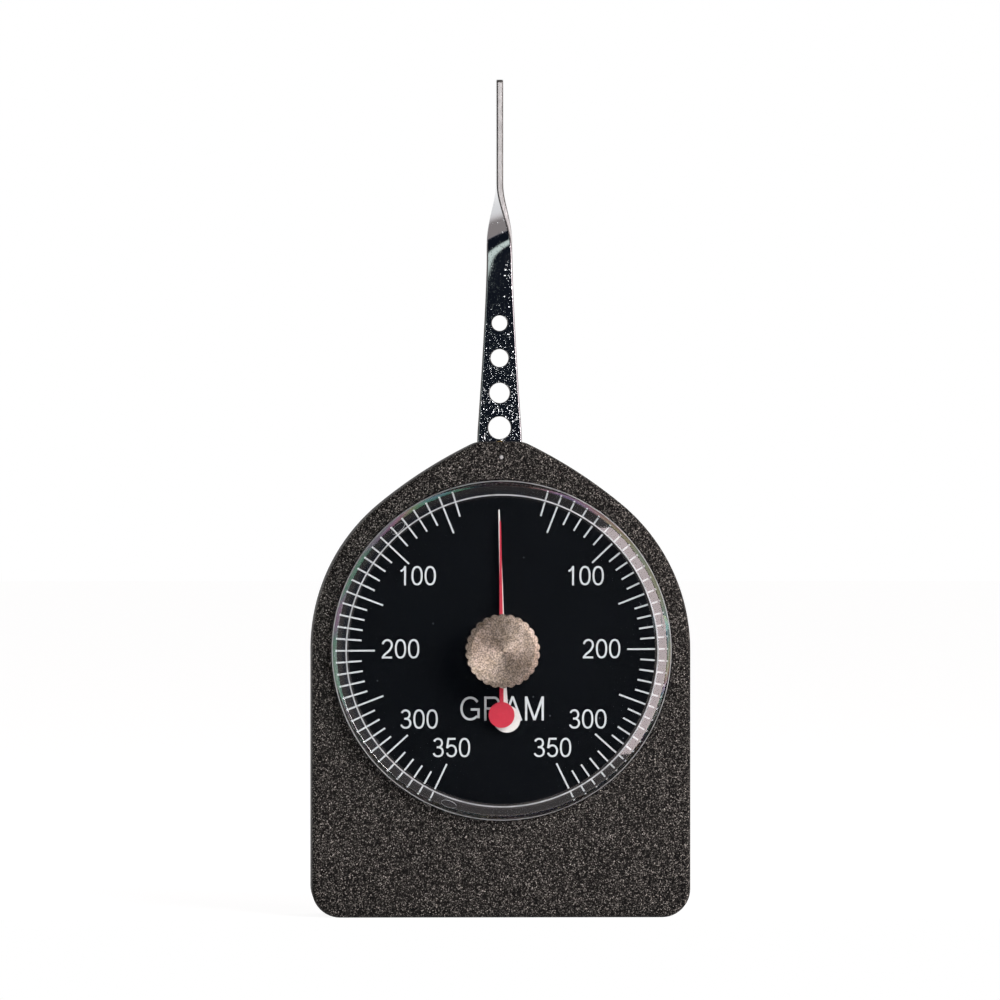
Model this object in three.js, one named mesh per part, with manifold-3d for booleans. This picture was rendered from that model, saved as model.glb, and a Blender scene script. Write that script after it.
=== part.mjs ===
// Pocket dial force gauge with a swinging feeler lever, a two-way dial and a maximum pointer.
// Millimetres. X runs to the right, Y from the front to the back, Z up. The origin is the
// middle of the base face, halfway through the depth of the case.

import * as THREE from 'three';
import { mergeVertices } from 'three/addons/utils/BufferGeometryUtils.js';
import Module from 'manifold-3d';

const wasm = await Module();
wasm.setup();

const degree = Math.PI / 180;
const fullTurn = 360;
const quarterTurn = 90;

// Outline of the case, seen from the front
const crystalRadius = 26.9;
const caseRim = 3.1; // case face left beside the crystal
const footHeight = 12.35; // straight drop from the round part to the base
const baseCornerRadius = 4.5;
const flankRadius = 75; // the long arcs that run up to the neck
const apexHalfWidth = 3.5; // where a flank would meet the flat top
const apexCornerRadius = 4;
const edgeRadius = 1; // rounding of the front and back edges
const pivotRise = 3.65; // lever axle above the crystal's edge
const apexRise = 2.5; // flat top above the lever axle

// Walls and seats
const wall = 2;
const seatDepth = 1.5; // counterbore that the crystal stands in
const wellDepth = 2.7; // front face to the web behind the dial
const webThickness = 1.5;
const coverThickness = 2;
const seatGap = 0.1; // between faces that rest on each other
const fitGap = 0.1; // radial, between a pin and its hole
const runningGap = 0.3; // between pieces that pass each other
const overrun = 1; // how far a cutter runs past the face it cuts
const onAxis = { x: 0, z: 0 };

// Crystal
const crystalWall = 1;
const crystalThickness = 1.6;
const bevelWidth = 2.25;
const bevelDepth = 2.2;
const bevelMidShare = 0.35; // where the bevel changes slope
const innerRimWidth = 0.7; // the same two slopes, inside the cap
const innerFaceWidth = 1;
const lugAngles = [9.5, 130.4, 250.8];
const lugWidth = 3;
const lugDepth = 1;

// Dial and pointers
const dialThickness = 0.5;
const dialHoleRadius = 2.3;
const dialFootRadius = 0.6;
const dialFootSpacing = 36;
const dialClearance = 0.4;
const pointerThickness = 0.3;
const pointerGap = 0.3; // between the two hubs
const liveNeedleLength = 22.3;
const liveNeedleWidth = 0.65;
const liveTailLength = 10.9;
const liveDiscRadius = 2.15;
const liveNeedleLean = 1.1; // degrees, anticlockwise: the needle is set by hand
const liveTailLean = 4.6;
const liveEyeRadius = 2.5;
const liveFlangeRadius = 4.2;
const liveFlangeThickness = 0.5;
const liveHubRadius = 1.4;
const liveHubStand = 0.4; // hub end in front of its pointer
const drivePinRadius = 0.3;
const drivePinReach = 3.4;
const drivePinAngle = 15; // degrees, anticlockwise from the needle
const dragNeedleLength = 20.6;
const dragNeedleWidth = 0.62;
const dragNeedleLean = 0.6;
const dragTailLength = 10.2;
const dragDiscRadius = 2.05;
const dragEyeRadius = 2.4;
const dragHubRadius = 2;
const dragHubLength = 1.45;
const dragRimRadius = 1.4;
const dragRimDepth = 0.2;
const needleTipWidth = 0.22;
const washerThickness = 0.25;
const washerRadius = 3;

// Reset knob
const knobRadius = 5.85;
const knobFaceRadius = 5;
const knobHeight = 4.2;
const knobChamfer = 0.55;
const knobDish = 0.3;
const knobCollarRadius = 3.4;
const knobCollarHeight = 0.6;
const scallopCount = 26;
const scallopDepth = 0.32;
const scallopSteps = 5;
const spindleRadius = 1;
const spindleGrip = 2.9; // length held inside the knob

// Lever: a flat strip with a quarter twist, so that its tip is edge-on to the front
const leverThickness = 1.1;
const leverTailLength = 10.5;
const leverTailWidth = 6;
const leverPivotWidth = 7.3;
const leverBaseHeight = 4.1;
const leverBaseWidth = 7;
const twistStart = 30.8;
const twistLength = 12.8;
const twistWidth = 4.1;
const leverLength = 60.1; // axle to tip
const tipWidth = 3.4;
const tipRound = 0.7;
const leverEdge = 0.25; // broken edges of the strip
const taperPower = 1.3; // shape of the flare above the case
const taperSteps = 6;
const twistSteps = 10;
const holeCount = 4;
const firstHoleHeight = 4.7;
const holePitch = 5.55;
const firstHoleRadius = 1.8;
const holeShrink = 0.19; // each hole's radius under the one below

// Lever axle, hub and rivets
const axleRadius = 1;
const axleTipRadius = 0.35; // the small end that shows in the case's front
const axleTipLength = 3;
const hubBarrelRadius = 1.8;
const hubFlangeRadius = 2.6;
const hubFlangeThickness = 0.6;
const hubRimRadius = 2.4;
const hubRimThickness = 0.5;
const rivetRadius = 0.8;
const rivetHeadRadius = 1.3;
const rivetHeadHeight = 0.4;
const rivetHeights = [5.4, 8.6]; // below the axle

// Sector gear and pinion
const sectorTeeth = 144; // on the whole circle
const sectorToothCount = 16;
const sectorMargin = 0.2; // teeth, left plain at each end of the rim
const pinionTeeth = 12;
const pressureAngle = 25; // degrees
const backlash = 0.12;
const addendumShare = 0.9; // of the module
const dedendumShare = 1.2;
const sectorThickness = 1.1;
const sectorHubRadius = 2.9;
const sectorRimDepth = 2.6;
const sectorSpokeWidth = 2.4;
const sectorWindowTop = 12.2; // below the axle
const pinionOverhang = 0.5;
const leverTravel = 40 / 3; // degrees, each way
const stopPinRadius = 0.9;
const stopReach = 20; // along the sector's edge
const stopGap = 0.2;
const neckDepth = 6.9; // solid neck below the axle
const neckClearance = 0.6;

// Arbor, measuring spring and bridge
const arborRadius = 0.9;
const arborFrontRadius = 0.6;
const arborBackRadius = 0.5;
const bushFlangeThickness = 0.5;
const frontBushRadius = 1.7;
const frontBushFlangeRadius = 2.6;
const backBushRadius = 1.4;
const backBushFlangeRadius = 2.2;
const colletRadius = 2.2;
const springStand = 0.9; // web to spring
const springWidth = 2;
const springThickness = 0.3;
const springOuterRadius = 10.2;
const springTurns = 4;
const springEndAngle = -35;
const springStepsPerTurn = 20;
const springClearance = 1.35; // spring to lever
const studRadius = 1.2;
const studSpigotRadius = 0.7;
const studSpigotLength = 1;
const studSlotGap = 0.25; // each side of the spring's end
const bridgeThickness = 1.2;
const bridgeClearance = 2.2; // sector to bridge
const bridgeHubRadius = 4.4;
const bridgeArmRadius = 2.9;
const pillarAngles = [5, 175, 270];
const pillarReach = 14.5;
const pillarRadius = 1.75;
const pillarSpigotRadius = 0.9;
const pillarSpigotLength = 1.2;
const bridgeScrewRadius = 0.7;
const bridgeScrewLength = 3;
const bridgeScrewHeadRadius = 1.5;
const bridgeScrewHeadHeight = 0.8;
const coverClearance = 0.95; // bridge screws to the cover

// Back cover and its screws
const bossRadius = 3;
const bossInset = 4.8; // boss axis from the outside of the case
const upperBossAngle = 45;
const screwRadius = 1.25;
const screwHeadRadius = 2.35;
const screwHeadHeight = 1.3;
const screwLength = 6; // into the boss
const screwRecess = 0.15;
const slotShare = 0.22; // driver slot width over head radius
const slotDepthShare = 0.5; // driver slot depth over head height
const lipDepth = 1;
const lipThickness = 1.2;

// Steps round an arc or a turn
const arcSteps = 4;
const smallSteps = 12;
const turnSteps = 20;
const fineSteps = 60;
const roundSteps = 3;
const flankSteps = 3;

// Heights
const caseHalfWidth = crystalRadius + caseRim;
const dialHeight = caseHalfWidth + footHeight;
const centreDistance = crystalRadius + pivotRise;
const pivotHeight = dialHeight + centreDistance;
const apexHeight = pivotHeight + apexRise;

// Depths, stacked from the web to the back
const leverFrontStand = springStand + springWidth + springClearance;
const sectorFrontStand = leverFrontStand + leverThickness + seatGap;
const sectorBackStand = sectorFrontStand + sectorThickness;
const bridgeStand = sectorBackStand + bridgeClearance;
const cavityDepth = bridgeStand + bridgeThickness + bridgeScrewHeadHeight + coverClearance;
const caseDepth = wellDepth + webThickness + cavityDepth + seatGap + coverThickness;
const frontY = -caseDepth / 2;
const backY = caseDepth / 2;
const webFrontY = frontY + wellDepth;
const webBackY = webFrontY + webThickness;
const rimY = webBackY + cavityDepth;
const coverY = rimY + seatGap;
const springFrontY = webBackY + springStand;
const springBackY = springFrontY + springWidth;
const leverFrontY = webBackY + leverFrontStand;
const leverBackY = leverFrontY + leverThickness;
const leverMidY = leverFrontY + leverThickness / 2;
const sectorFrontY = webBackY + sectorFrontStand;
const sectorBackY = webBackY + sectorBackStand;
const hubFrontY = leverFrontY - seatGap - hubFlangeThickness;
const hubBackY = sectorBackY + seatGap + hubRimThickness;
const slotFrontY = hubFrontY - runningGap;
const slotBackY = hubBackY + runningGap;
const bridgeFrontY = webBackY + bridgeStand;
const bridgeBackY = bridgeFrontY + bridgeThickness;

// Depths, stacked from the web to the knob
const dialBackY = webFrontY - seatGap;
const dialFrontY = dialBackY - dialThickness;
const liveFlangeBackY = dialFrontY - dialClearance;
const liveFlangeFrontY = liveFlangeBackY - liveFlangeThickness;
const livePointerBackY = liveFlangeFrontY - seatGap;
const livePointerFrontY = livePointerBackY - pointerThickness;
const liveHubFrontY = livePointerFrontY - liveHubStand;
const dragHubBackY = liveHubFrontY - pointerGap;
const dragPointerBackY = dragHubBackY - dragRimDepth;
const dragPointerFrontY = dragPointerBackY - pointerThickness;
const dragBodyBackY = dragPointerFrontY - seatGap;
const dragBodyFrontY = dragBodyBackY - dragHubLength;
const washerBackY = dragBodyFrontY - seatGap;
const washerFrontY = washerBackY - washerThickness;
const crystalInnerY = washerFrontY - seatGap;
const crystalFrontY = crystalInnerY - crystalThickness;
const knobBackY = crystalFrontY - runningGap;
const knobFrontY = knobBackY - knobHeight;
const spindleBackY = dragHubBackY;
const spindleFrontY = knobBackY - spindleGrip;

// Radii that follow from the pieces they hold
const seatRadius = crystalRadius + fitGap;
const crystalInnerRadius = crystalRadius - crystalWall;
const dialRadius = crystalInnerRadius - fitGap;
const wellRadius = crystalInnerRadius;
const crystalFootY = frontY + seatDepth - seatGap;
const lugReach = crystalRadius - crystalWall / 2;
const gearModule = (2 * centreDistance) / (sectorTeeth + pinionTeeth);
const sectorPitchRadius = (gearModule * sectorTeeth) / 2;
const sectorRootRadius = sectorPitchRadius - dedendumShare * gearModule;
const fanHalfAngle = ((sectorToothCount + 2 * sectorMargin) * Math.PI) / sectorTeeth;
const fanEdgeAngle = fanHalfAngle - Math.asin(sectorHubRadius / sectorRootRadius);

// Turns a closed three.js geometry into a solid that can be joined and cut
function solidOf(geometry) {
  geometry.deleteAttribute('normal');
  geometry.deleteAttribute('uv');
  const merged = mergeVertices(geometry);
  const corners = merged.index.array;
  const triVerts = [];
  for (let i = 0; i < corners.length; i += 3) {
    const [a, b, c] = [corners[i], corners[i + 1], corners[i + 2]];
    if (a !== b && b !== c && c !== a) triVerts.push(a, b, c);
  }
  const vertProperties = new Float32Array(merged.attributes.position.array);
  return new wasm.Manifold(
    new wasm.Mesh({ numProp: 3, vertProperties, triVerts: new Uint32Array(triVerts) }),
  );
}

function geometryOf(solid) {
  const { vertProperties, triVerts } = solid.getMesh();
  const geometry = new THREE.BufferGeometry();
  geometry.setAttribute('position', new THREE.BufferAttribute(vertProperties, 3));
  geometry.setIndex(new THREE.BufferAttribute(triVerts, 1));
  geometry.computeVertexNormals();
  return geometry;
}

function cut(body, ...tools) {
  return tools.reduce((rest, tool) => rest.subtract(tool), body);
}

function join(body, ...others) {
  return others.reduce((whole, other) => whole.add(other), body);
}

// A flat outline in X and Z, given depth along Y
function plate(outline, startY, endY) {
  const geometry = new THREE.ExtrudeGeometry(outline, {
    depth: endY - startY,
    bevelEnabled: false,
    curveSegments: arcSteps,
  });
  geometry.rotateX(Math.PI / 2);
  geometry.translate(0, endY, 0);
  return solidOf(geometry);
}

// A profile of [radius, y] points turned about an axis along Y
function turned(profile, steps = turnSteps, place = onAxis) {
  const points = profile.map(([radius, y]) => new THREE.Vector2(radius, y));
  const geometry = new THREE.LatheGeometry(points, steps);
  geometry.translate(place.x, 0, place.z);
  return solidOf(geometry);
}

// The same for a ring, whose profile closes on itself
function turnedRing(profile, steps = turnSteps, place = onAxis) {
  return turned([...profile, profile[0]], steps, place);
}

function pin(radius, startY, endY, place = onAxis, steps = smallSteps) {
  const profile = [[0, startY], [radius, startY], [radius, endY], [0, endY]];
  return turned(profile, steps, place);
}

function block(low, high) {
  const size = high.map((value, i) => value - low[i]);
  const geometry = new THREE.BoxGeometry(...size);
  geometry.translate(...high.map((value, i) => (value + low[i]) / 2));
  return solidOf(geometry);
}

// A skin over rings of points, each ring anticlockwise about the way the rings run
function loft(rings, flat) {
  const count = rings[0].length;
  const index = [];
  for (let ring = 0; ring + 1 < rings.length; ring += 1) {
    for (let i = 0; i < count; i += 1) {
      const a = ring * count + i;
      const b = ring * count + ((i + 1) % count);
      index.push(a, b, b + count, a, b + count, a + count);
    }
  }
  const last = (rings.length - 1) * count;
  for (const [a, b, c] of THREE.ShapeUtils.triangulateShape(rings[0].map(flat), [])) {
    index.push(c, b, a);
  }
  for (const [a, b, c] of THREE.ShapeUtils.triangulateShape(rings.at(-1).map(flat), [])) {
    index.push(last + a, last + b, last + c);
  }
  const geometry = new THREE.BufferGeometry();
  const points = rings.flat().flatMap((point) => point.toArray());
  geometry.setAttribute('position', new THREE.Float32BufferAttribute(points, 3));
  geometry.setIndex(index);
  return solidOf(geometry);
}

// A place at a distance and an angle from an axis, anticlockwise as seen from the front
function polar(reach, angle, height = 0) {
  return { x: reach * Math.cos(angle * degree), z: height + reach * Math.sin(angle * degree) };
}

// A point of an outline at a radius and an angle in radians
function around(radius, angle) {
  return new THREE.Vector2(radius * Math.cos(angle), radius * Math.sin(angle));
}

// Outline of the case: a straight foot, a round middle, long flanks and a narrow flat top
const flankReach = flankRadius - caseHalfWidth;
const apexSpan = Math.hypot(apexHalfWidth, apexHeight - dialHeight);
const flankRise = (flankRadius ** 2 - flankReach ** 2 - apexSpan ** 2) / (2 * flankReach);
const apexLean = Math.atan2(apexHalfWidth, apexHeight - dialHeight);
const shoulderAngle = Math.PI / 2 - apexLean - Math.acos(flankRise / apexSpan);
const flankX = -flankReach * Math.cos(shoulderAngle);
const flankZ = dialHeight - flankReach * Math.sin(shoulderAngle);
const apexCornerZ = apexHeight - apexCornerRadius;
const apexCornerX =
  flankX + Math.sqrt((flankRadius - apexCornerRadius) ** 2 - (apexCornerZ - flankZ) ** 2);
const apexAngle = Math.atan2(apexCornerZ - flankZ, apexCornerX - flankX);

function arcPoints(x, z, radius, start, end) {
  const points = [];
  for (let i = 0; i <= 2 * arcSteps; i += 1) {
    const turn = start + ((end - start) * i) / (2 * arcSteps);
    points.push(around(radius, turn).add(new THREE.Vector2(x, z)));
  }
  return points;
}

// Each arc that runs on smoothly from the one before drops their shared point
function caseOutline(inset) {
  const cornerX = caseHalfWidth - baseCornerRadius;
  const right = [
    ...arcPoints(cornerX, baseCornerRadius, baseCornerRadius - inset, -Math.PI / 2, 0),
    ...arcPoints(0, dialHeight, caseHalfWidth - inset, 0, shoulderAngle),
    ...arcPoints(flankX, flankZ, flankRadius - inset, shoulderAngle, apexAngle).slice(1),
    ...arcPoints(apexCornerX, apexCornerZ, apexCornerRadius - inset, apexAngle, Math.PI / 2)
      .slice(1),
  ];
  const left = right.map((point) => new THREE.Vector2(-point.x, point.y)).reverse();
  return new THREE.Shape([...right, ...left]);
}

// The case's outline between two depths, with one rounded edge
function roundedSlab(sharpY, roundY) {
  const towards = Math.sign(roundY - sharpY);
  const rings = [[sharpY, 0]];
  for (let step = 0; step <= roundSteps; step += 1) {
    const turn = (Math.PI / 2) * (step / roundSteps);
    const y = roundY - towards * edgeRadius * (1 - Math.sin(turn));
    rings.push([y, edgeRadius * (1 - Math.cos(turn))]);
  }
  if (towards > 0) rings.reverse();
  const points = rings.map(([y, inset]) =>
    caseOutline(inset).getPoints().map((point) => new THREE.Vector3(point.x, y, point.y)));
  return loft(points, (point) => new THREE.Vector2(point.x, point.z));
}

const lowerBossX = caseHalfWidth - bossInset;
const upperBoss = polar(caseHalfWidth - bossInset, upperBossAngle, dialHeight);
const bossPlaces = [
  { x: lowerBossX, z: bossInset },
  { x: -lowerBossX, z: bossInset },
  { x: upperBoss.x, z: upperBoss.z },
  { x: -upperBoss.x, z: upperBoss.z },
];
const neckFloor = pivotHeight - neckDepth;
const aboveTop = apexHeight + overrun;

// Half the width that a straight edge sweeps, at a distance from the axle
function sweptHalf(edgeOffset, edgeAngle, distance) {
  return (edgeOffset + distance * Math.sin(edgeAngle)) / Math.cos(edgeAngle);
}

// Slot in the neck that the lever swings in, open at the top and into the case
function neckSlot() {
  const travel = leverTravel * degree;
  const topHalf = sweptHalf(leverPivotWidth / 2, travel, apexRise) + neckClearance;
  const fanAngle = fanEdgeAngle + travel;
  const midHalf = Math.max(topHalf, sweptHalf(sectorHubRadius, fanAngle, 0) + neckClearance);
  const footHalf = sweptHalf(sectorHubRadius, fanAngle, neckDepth + overrun) + neckClearance;
  const shape = new THREE.Shape();
  shape.moveTo(-footHalf, neckFloor - overrun);
  shape.lineTo(footHalf, neckFloor - overrun);
  shape.lineTo(midHalf, pivotHeight);
  shape.lineTo(midHalf, aboveTop);
  shape.lineTo(-midHalf, aboveTop);
  shape.lineTo(-midHalf, pivotHeight);
  shape.closePath();
  return plate(shape, slotFrontY, slotBackY);
}

// A snap lug under the crystal's rim, or the hole for it
function lugShape(angle, extra, startY, endY) {
  const half = crystalWall / 2 + extra;
  const geometry = new THREE.BoxGeometry(2 * half, endY - startY, lugWidth + 2 * extra);
  geometry.translate(lugReach, (startY + endY) / 2, 0);
  geometry.rotateY(-angle * degree);
  return geometry;
}

// A blind hole in the back of the web, for a spigot
function webHole(radius, depth, place) {
  return pin(radius + fitGap, webBackY - depth - seatGap, webBackY + overrun, place);
}

function caseSolid() {
  const dialAxis = { x: 0, z: dialHeight };
  const neck = block(
    [-caseHalfWidth, frontY - overrun, neckFloor],
    [caseHalfWidth, backY + overrun, aboveTop],
  );
  const cavity = cut(plate(caseOutline(wall), webBackY, rimY + overrun), neck);
  const wellWall = pin(seatRadius + wall, frontY, backY, dialAxis, fineSteps);
  const pocket = plate(caseOutline(wall), frontY + wall, webBackY + overrun);
  let body = cut(roundedSlab(rimY, frontY), cavity, cut(pocket, neck, wellWall));
  const slabBounds = plate(caseOutline(edgeRadius), frontY + wall, rimY);
  for (const place of bossPlaces) {
    const boss = pin(bossRadius, frontY + wall, rimY, place, turnSteps);
    body = join(body, boss.intersect(slabBounds));
  }
  body = cut(
    body,
    pin(seatRadius, frontY - overrun, frontY + seatDepth, dialAxis, fineSteps),
    pin(wellRadius, frontY - overrun, webFrontY, dialAxis, fineSteps),
    pin(frontBushRadius + fitGap, webFrontY - overrun, webBackY + overrun, dialAxis, turnSteps),
    neckSlot(),
  );
  const axle = { x: 0, z: pivotHeight };
  const shoulderY = frontY + axleTipLength - seatGap;
  body = cut(
    body,
    pin(axleTipRadius + fitGap, frontY - overrun, shoulderY + overrun, axle),
    pin(axleRadius + fitGap, shoulderY, rimY + overrun, axle),
  );
  for (const place of bossPlaces) {
    body = cut(body, pin(screwRadius + fitGap, rimY - screwLength, rimY + overrun, place));
  }
  for (const angle of lugAngles) {
    const lugHole = lugShape(angle, runningGap, frontY, frontY + seatDepth + lugDepth + seatGap);
    lugHole.translate(0, 0, dialHeight);
    body = cut(body, solidOf(lugHole));
  }
  for (const side of [-1, 1]) {
    const foot = { x: (side * dialFootSpacing) / 2, z: dialHeight };
    body = cut(body, pin(dialFootRadius + fitGap, webFrontY - overrun, webBackY + overrun, foot));
    const stop = stopPlace(side);
    const hole = { x: stop.x, z: pivotHeight + stop.z };
    body = cut(body, webHole(studSpigotRadius, studSpigotLength, hole));
  }
  for (const angle of pillarAngles) {
    const hole = polar(pillarReach, angle, dialHeight);
    body = cut(body, webHole(pillarSpigotRadius, pillarSpigotLength, hole));
  }
  const studHole = polar(springOuterRadius, springEndAngle, dialHeight);
  return cut(body, webHole(studSpigotRadius, studSpigotLength, studHole));
}

function coverSolid() {
  const lipEdge = wall + fitGap;
  const neck = block(
    [-caseHalfWidth, frontY, neckFloor - runningGap],
    [caseHalfWidth, backY, aboveTop],
  );
  let lip = cut(
    plate(caseOutline(lipEdge), rimY - lipDepth, coverY + seatGap),
    plate(caseOutline(lipEdge + lipThickness), rimY - lipDepth - overrun, coverY),
    neck,
  );
  for (const place of bossPlaces) {
    const notch = pin(bossRadius + runningGap, rimY - lipDepth - overrun, coverY, place, turnSteps);
    lip = cut(lip, notch);
  }
  let body = join(roundedSlab(coverY, backY), lip);
  const head = screwHeadRadius + fitGap;
  for (const place of bossPlaces) {
    const shank = screwRadius + fitGap;
    const coneY = backY - screwRecess - screwHeadHeight;
    const sink = [
      [0, coverY - overrun],
      [shank, coverY - overrun],
      [shank, coneY],
      [head, backY - screwRecess],
      [head, backY + overrun],
      [0, backY + overrun],
    ];
    body = cut(body, turned(sink, turnSteps, place));
  }
  return body;
}

// Countersunk screw with a driver slot, its axis on x = 0, z = 0
function coverScrewSolid() {
  const headY = backY - screwRecess;
  const profile = [
    [0, rimY - screwLength + seatGap],
    [screwRadius, rimY - screwLength + seatGap],
    [screwRadius, headY - screwHeadHeight + seatGap],
    [screwHeadRadius, headY],
    [0, headY],
  ];
  const slotHalf = (screwHeadRadius * slotShare) / 2;
  const slot = block(
    [-screwHeadRadius - overrun, headY - screwHeadHeight * slotDepthShare, -slotHalf],
    [screwHeadRadius + overrun, headY + overrun, slotHalf],
  );
  return cut(turned(profile, turnSteps), slot);
}

// The clear cap: a thin front, a rim bevelled in two slopes and three snap lugs
function crystalSolid() {
  const faceSlope = (bevelDepth * bevelMidShare) / (bevelWidth * (1 - bevelMidShare));
  const rimSlope = (bevelDepth * (1 - bevelMidShare)) / (bevelWidth * bevelMidShare);
  const innerMidRadius = crystalInnerRadius - innerRimWidth;
  const innerMidY = crystalInnerY + innerFaceWidth * faceSlope;
  const profile = [
    [spindleRadius + fitGap, crystalFrontY],
    [crystalRadius - bevelWidth, crystalFrontY],
    [crystalRadius - bevelWidth * bevelMidShare, crystalFrontY + bevelDepth * bevelMidShare],
    [crystalRadius, crystalFrontY + bevelDepth],
    [crystalRadius, crystalFootY],
    [crystalInnerRadius, crystalFootY],
    [crystalInnerRadius, innerMidY + innerRimWidth * rimSlope],
    [innerMidRadius, innerMidY],
    [innerMidRadius - innerFaceWidth, crystalInnerY],
    [spindleRadius + fitGap, crystalInnerY],
  ];
  const lugs = lugAngles.map((angle) =>
    solidOf(lugShape(angle, 0, crystalFootY - seatGap, crystalFootY + lugDepth)));
  return join(turnedRing(profile, fineSteps), ...lugs);
}

function dialSolid() {
  const ring = [
    [dialHoleRadius, dialFrontY],
    [dialRadius, dialFrontY],
    [dialRadius, dialBackY],
    [dialHoleRadius, dialBackY],
  ];
  const feet = [-1, 1].map((side) => {
    const place = { x: (side * dialFootSpacing) / 2, z: 0 };
    return pin(dialFootRadius, dialBackY - seatGap, webBackY - seatGap, place);
  });
  return join(turnedRing(ring, fineSteps), ...feet);
}

// A needle, its tail and the tail's disc, cut from one sheet
function pointerSolid(sizes, startY, endY) {
  const needle = new THREE.Shape();
  const [wide, thin] = [sizes.width / 2, needleTipWidth / 2];
  needle.moveTo(-wide, 0);
  needle.lineTo(wide, 0);
  needle.lineTo(thin, sizes.needle - needleTipWidth);
  needle.lineTo(0, sizes.needle);
  needle.lineTo(-thin, sizes.needle - needleTipWidth);
  needle.closePath();
  const stem = new THREE.Shape();
  stem.moveTo(-wide, 0);
  stem.lineTo(-wide, -sizes.tail);
  stem.lineTo(wide, -sizes.tail);
  stem.lineTo(wide, 0);
  stem.closePath();
  const tip = turnedAbout(plate(needle, startY, endY), sizes.needleLean);
  const tail = join(
    plate(stem, startY, endY),
    pin(sizes.disc, startY, endY, { x: 0, z: -sizes.tail }, turnSteps),
  );
  const eye = pin(sizes.eye, startY, endY, onAxis, turnSteps);
  const bore = pin(sizes.bore, startY - overrun, endY + overrun, onAxis, turnSteps);
  return cut(join(tip, turnedAbout(tail, sizes.tailLean), eye), bore);
}

// A solid turned anticlockwise, as seen from the front, about the axis through the origin
function turnedAbout(solid, angle) {
  const geometry = geometryOf(solid);
  geometry.rotateY(-angle * degree);
  return solidOf(geometry);
}

const liveSizes = {
  needle: liveNeedleLength,
  width: liveNeedleWidth,
  tail: liveTailLength,
  disc: liveDiscRadius,
  eye: liveEyeRadius,
  bore: liveHubRadius + fitGap,
  needleLean: liveNeedleLean,
  tailLean: liveTailLean,
};

const dragSizes = {
  needle: dragNeedleLength,
  width: dragNeedleWidth,
  tail: dragTailLength,
  disc: dragDiscRadius,
  eye: dragEyeRadius,
  bore: dragRimRadius + fitGap,
  needleLean: dragNeedleLean,
  tailLean: 0,
};

const drivePinPlace = polar(drivePinReach, quarterTurn + drivePinAngle);

function pointerHubSolid() {
  const bore = arborFrontRadius + fitGap;
  const profile = [
    [bore, liveHubFrontY],
    [liveHubRadius, liveHubFrontY],
    [liveHubRadius, liveFlangeFrontY],
    [liveFlangeRadius, liveFlangeFrontY],
    [liveFlangeRadius, liveFlangeBackY],
    [bore, liveFlangeBackY],
  ];
  const pinHole = pin(
    drivePinRadius + fitGap,
    liveFlangeFrontY - overrun,
    liveFlangeBackY + overrun,
    drivePinPlace,
  );
  return cut(turnedRing(profile, turnSteps), pinHole);
}

function drivePinSolid() {
  const endY = dragPointerBackY + pointerGap;
  return pin(drivePinRadius, endY, liveFlangeBackY, drivePinPlace);
}

function dragHubSolid() {
  const bore = spindleRadius + fitGap;
  const profile = [
    [bore, dragBodyFrontY],
    [dragHubRadius, dragBodyFrontY],
    [dragHubRadius, dragBodyBackY],
    [dragRimRadius, dragBodyBackY],
    [dragRimRadius, dragHubBackY],
    [bore, dragHubBackY],
  ];
  return turnedRing(profile, turnSteps);
}

function washerSolid() {
  const bore = spindleRadius + fitGap;
  const profile = [
    [bore, washerFrontY],
    [washerRadius, washerFrontY],
    [washerRadius, washerBackY],
    [bore, washerBackY],
  ];
  return turnedRing(profile, turnSteps);
}

// Coin-edged knob: a scalloped blank turned down to a collar, a chamfer and a dished face
function knobSolid() {
  const points = [];
  const steps = scallopCount * scallopSteps;
  for (let i = 0; i < steps; i += 1) {
    const turn = (2 * Math.PI * i) / steps;
    const lobe = Math.abs(Math.sin((turn * scallopCount) / 2));
    const radius = knobRadius - scallopDepth * (1 - lobe);
    points.push(around(radius, turn));
  }
  const collarY = knobBackY - knobCollarHeight;
  const outer = knobRadius + overrun;
  const slope = knobChamfer / (knobRadius - knobFaceRadius);
  const profile = [
    [0, knobFrontY + knobDish],
    [knobFaceRadius / 2, knobFrontY + knobDish / 2],
    [knobFaceRadius, knobFrontY],
    [outer, knobFrontY + slope * (outer - knobFaceRadius)],
    [outer, collarY],
    [knobCollarRadius, collarY],
    [knobCollarRadius, knobBackY],
    [0, knobBackY],
  ];
  const blank = plate(new THREE.Shape(points), knobFrontY - overrun, knobBackY + overrun);
  const bore = pin(
    spindleRadius + fitGap,
    spindleFrontY - seatGap,
    knobBackY + overrun,
    onAxis,
    turnSteps,
  );
  return cut(blank.intersect(turned(profile, fineSteps)), bore);
}

// One involute tooth about the gear's axis, as [radius, angle from the tooth's middle] pairs
function toothFlank(teeth) {
  const pitch = (gearModule * teeth) / 2;
  const pressure = pressureAngle * degree;
  const base = pitch * Math.cos(pressure);
  const root = pitch - dedendumShare * gearModule;
  const tip = pitch + addendumShare * gearModule;
  const involute = (radius) => {
    const angle = Math.acos(Math.min(1, base / radius));
    return Math.tan(angle) - angle;
  };
  const halfAtPitch = Math.PI / (2 * teeth) - backlash / (4 * pitch);
  const halfAt = (radius) => halfAtPitch + involute(pitch) - involute(radius);
  const start = Math.max(root, base);
  const flank = [[root, halfAt(start)]];
  for (let i = start > root ? 0 : 1; i <= flankSteps; i += 1) {
    const radius = start + ((tip - start) * i) / flankSteps;
    flank.push([radius, halfAt(radius)]);
  }
  return flank;
}

// Points of a run of teeth whose middles are at the given angles
function toothPoints(teeth, middles) {
  const rising = toothFlank(teeth).map(([radius, half]) => [radius, -half]);
  const falling = toothFlank(teeth).reverse();
  return middles.flatMap((middle) =>
    [...rising, ...falling].map(([radius, offset]) => around(radius, middle + offset)));
}

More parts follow.
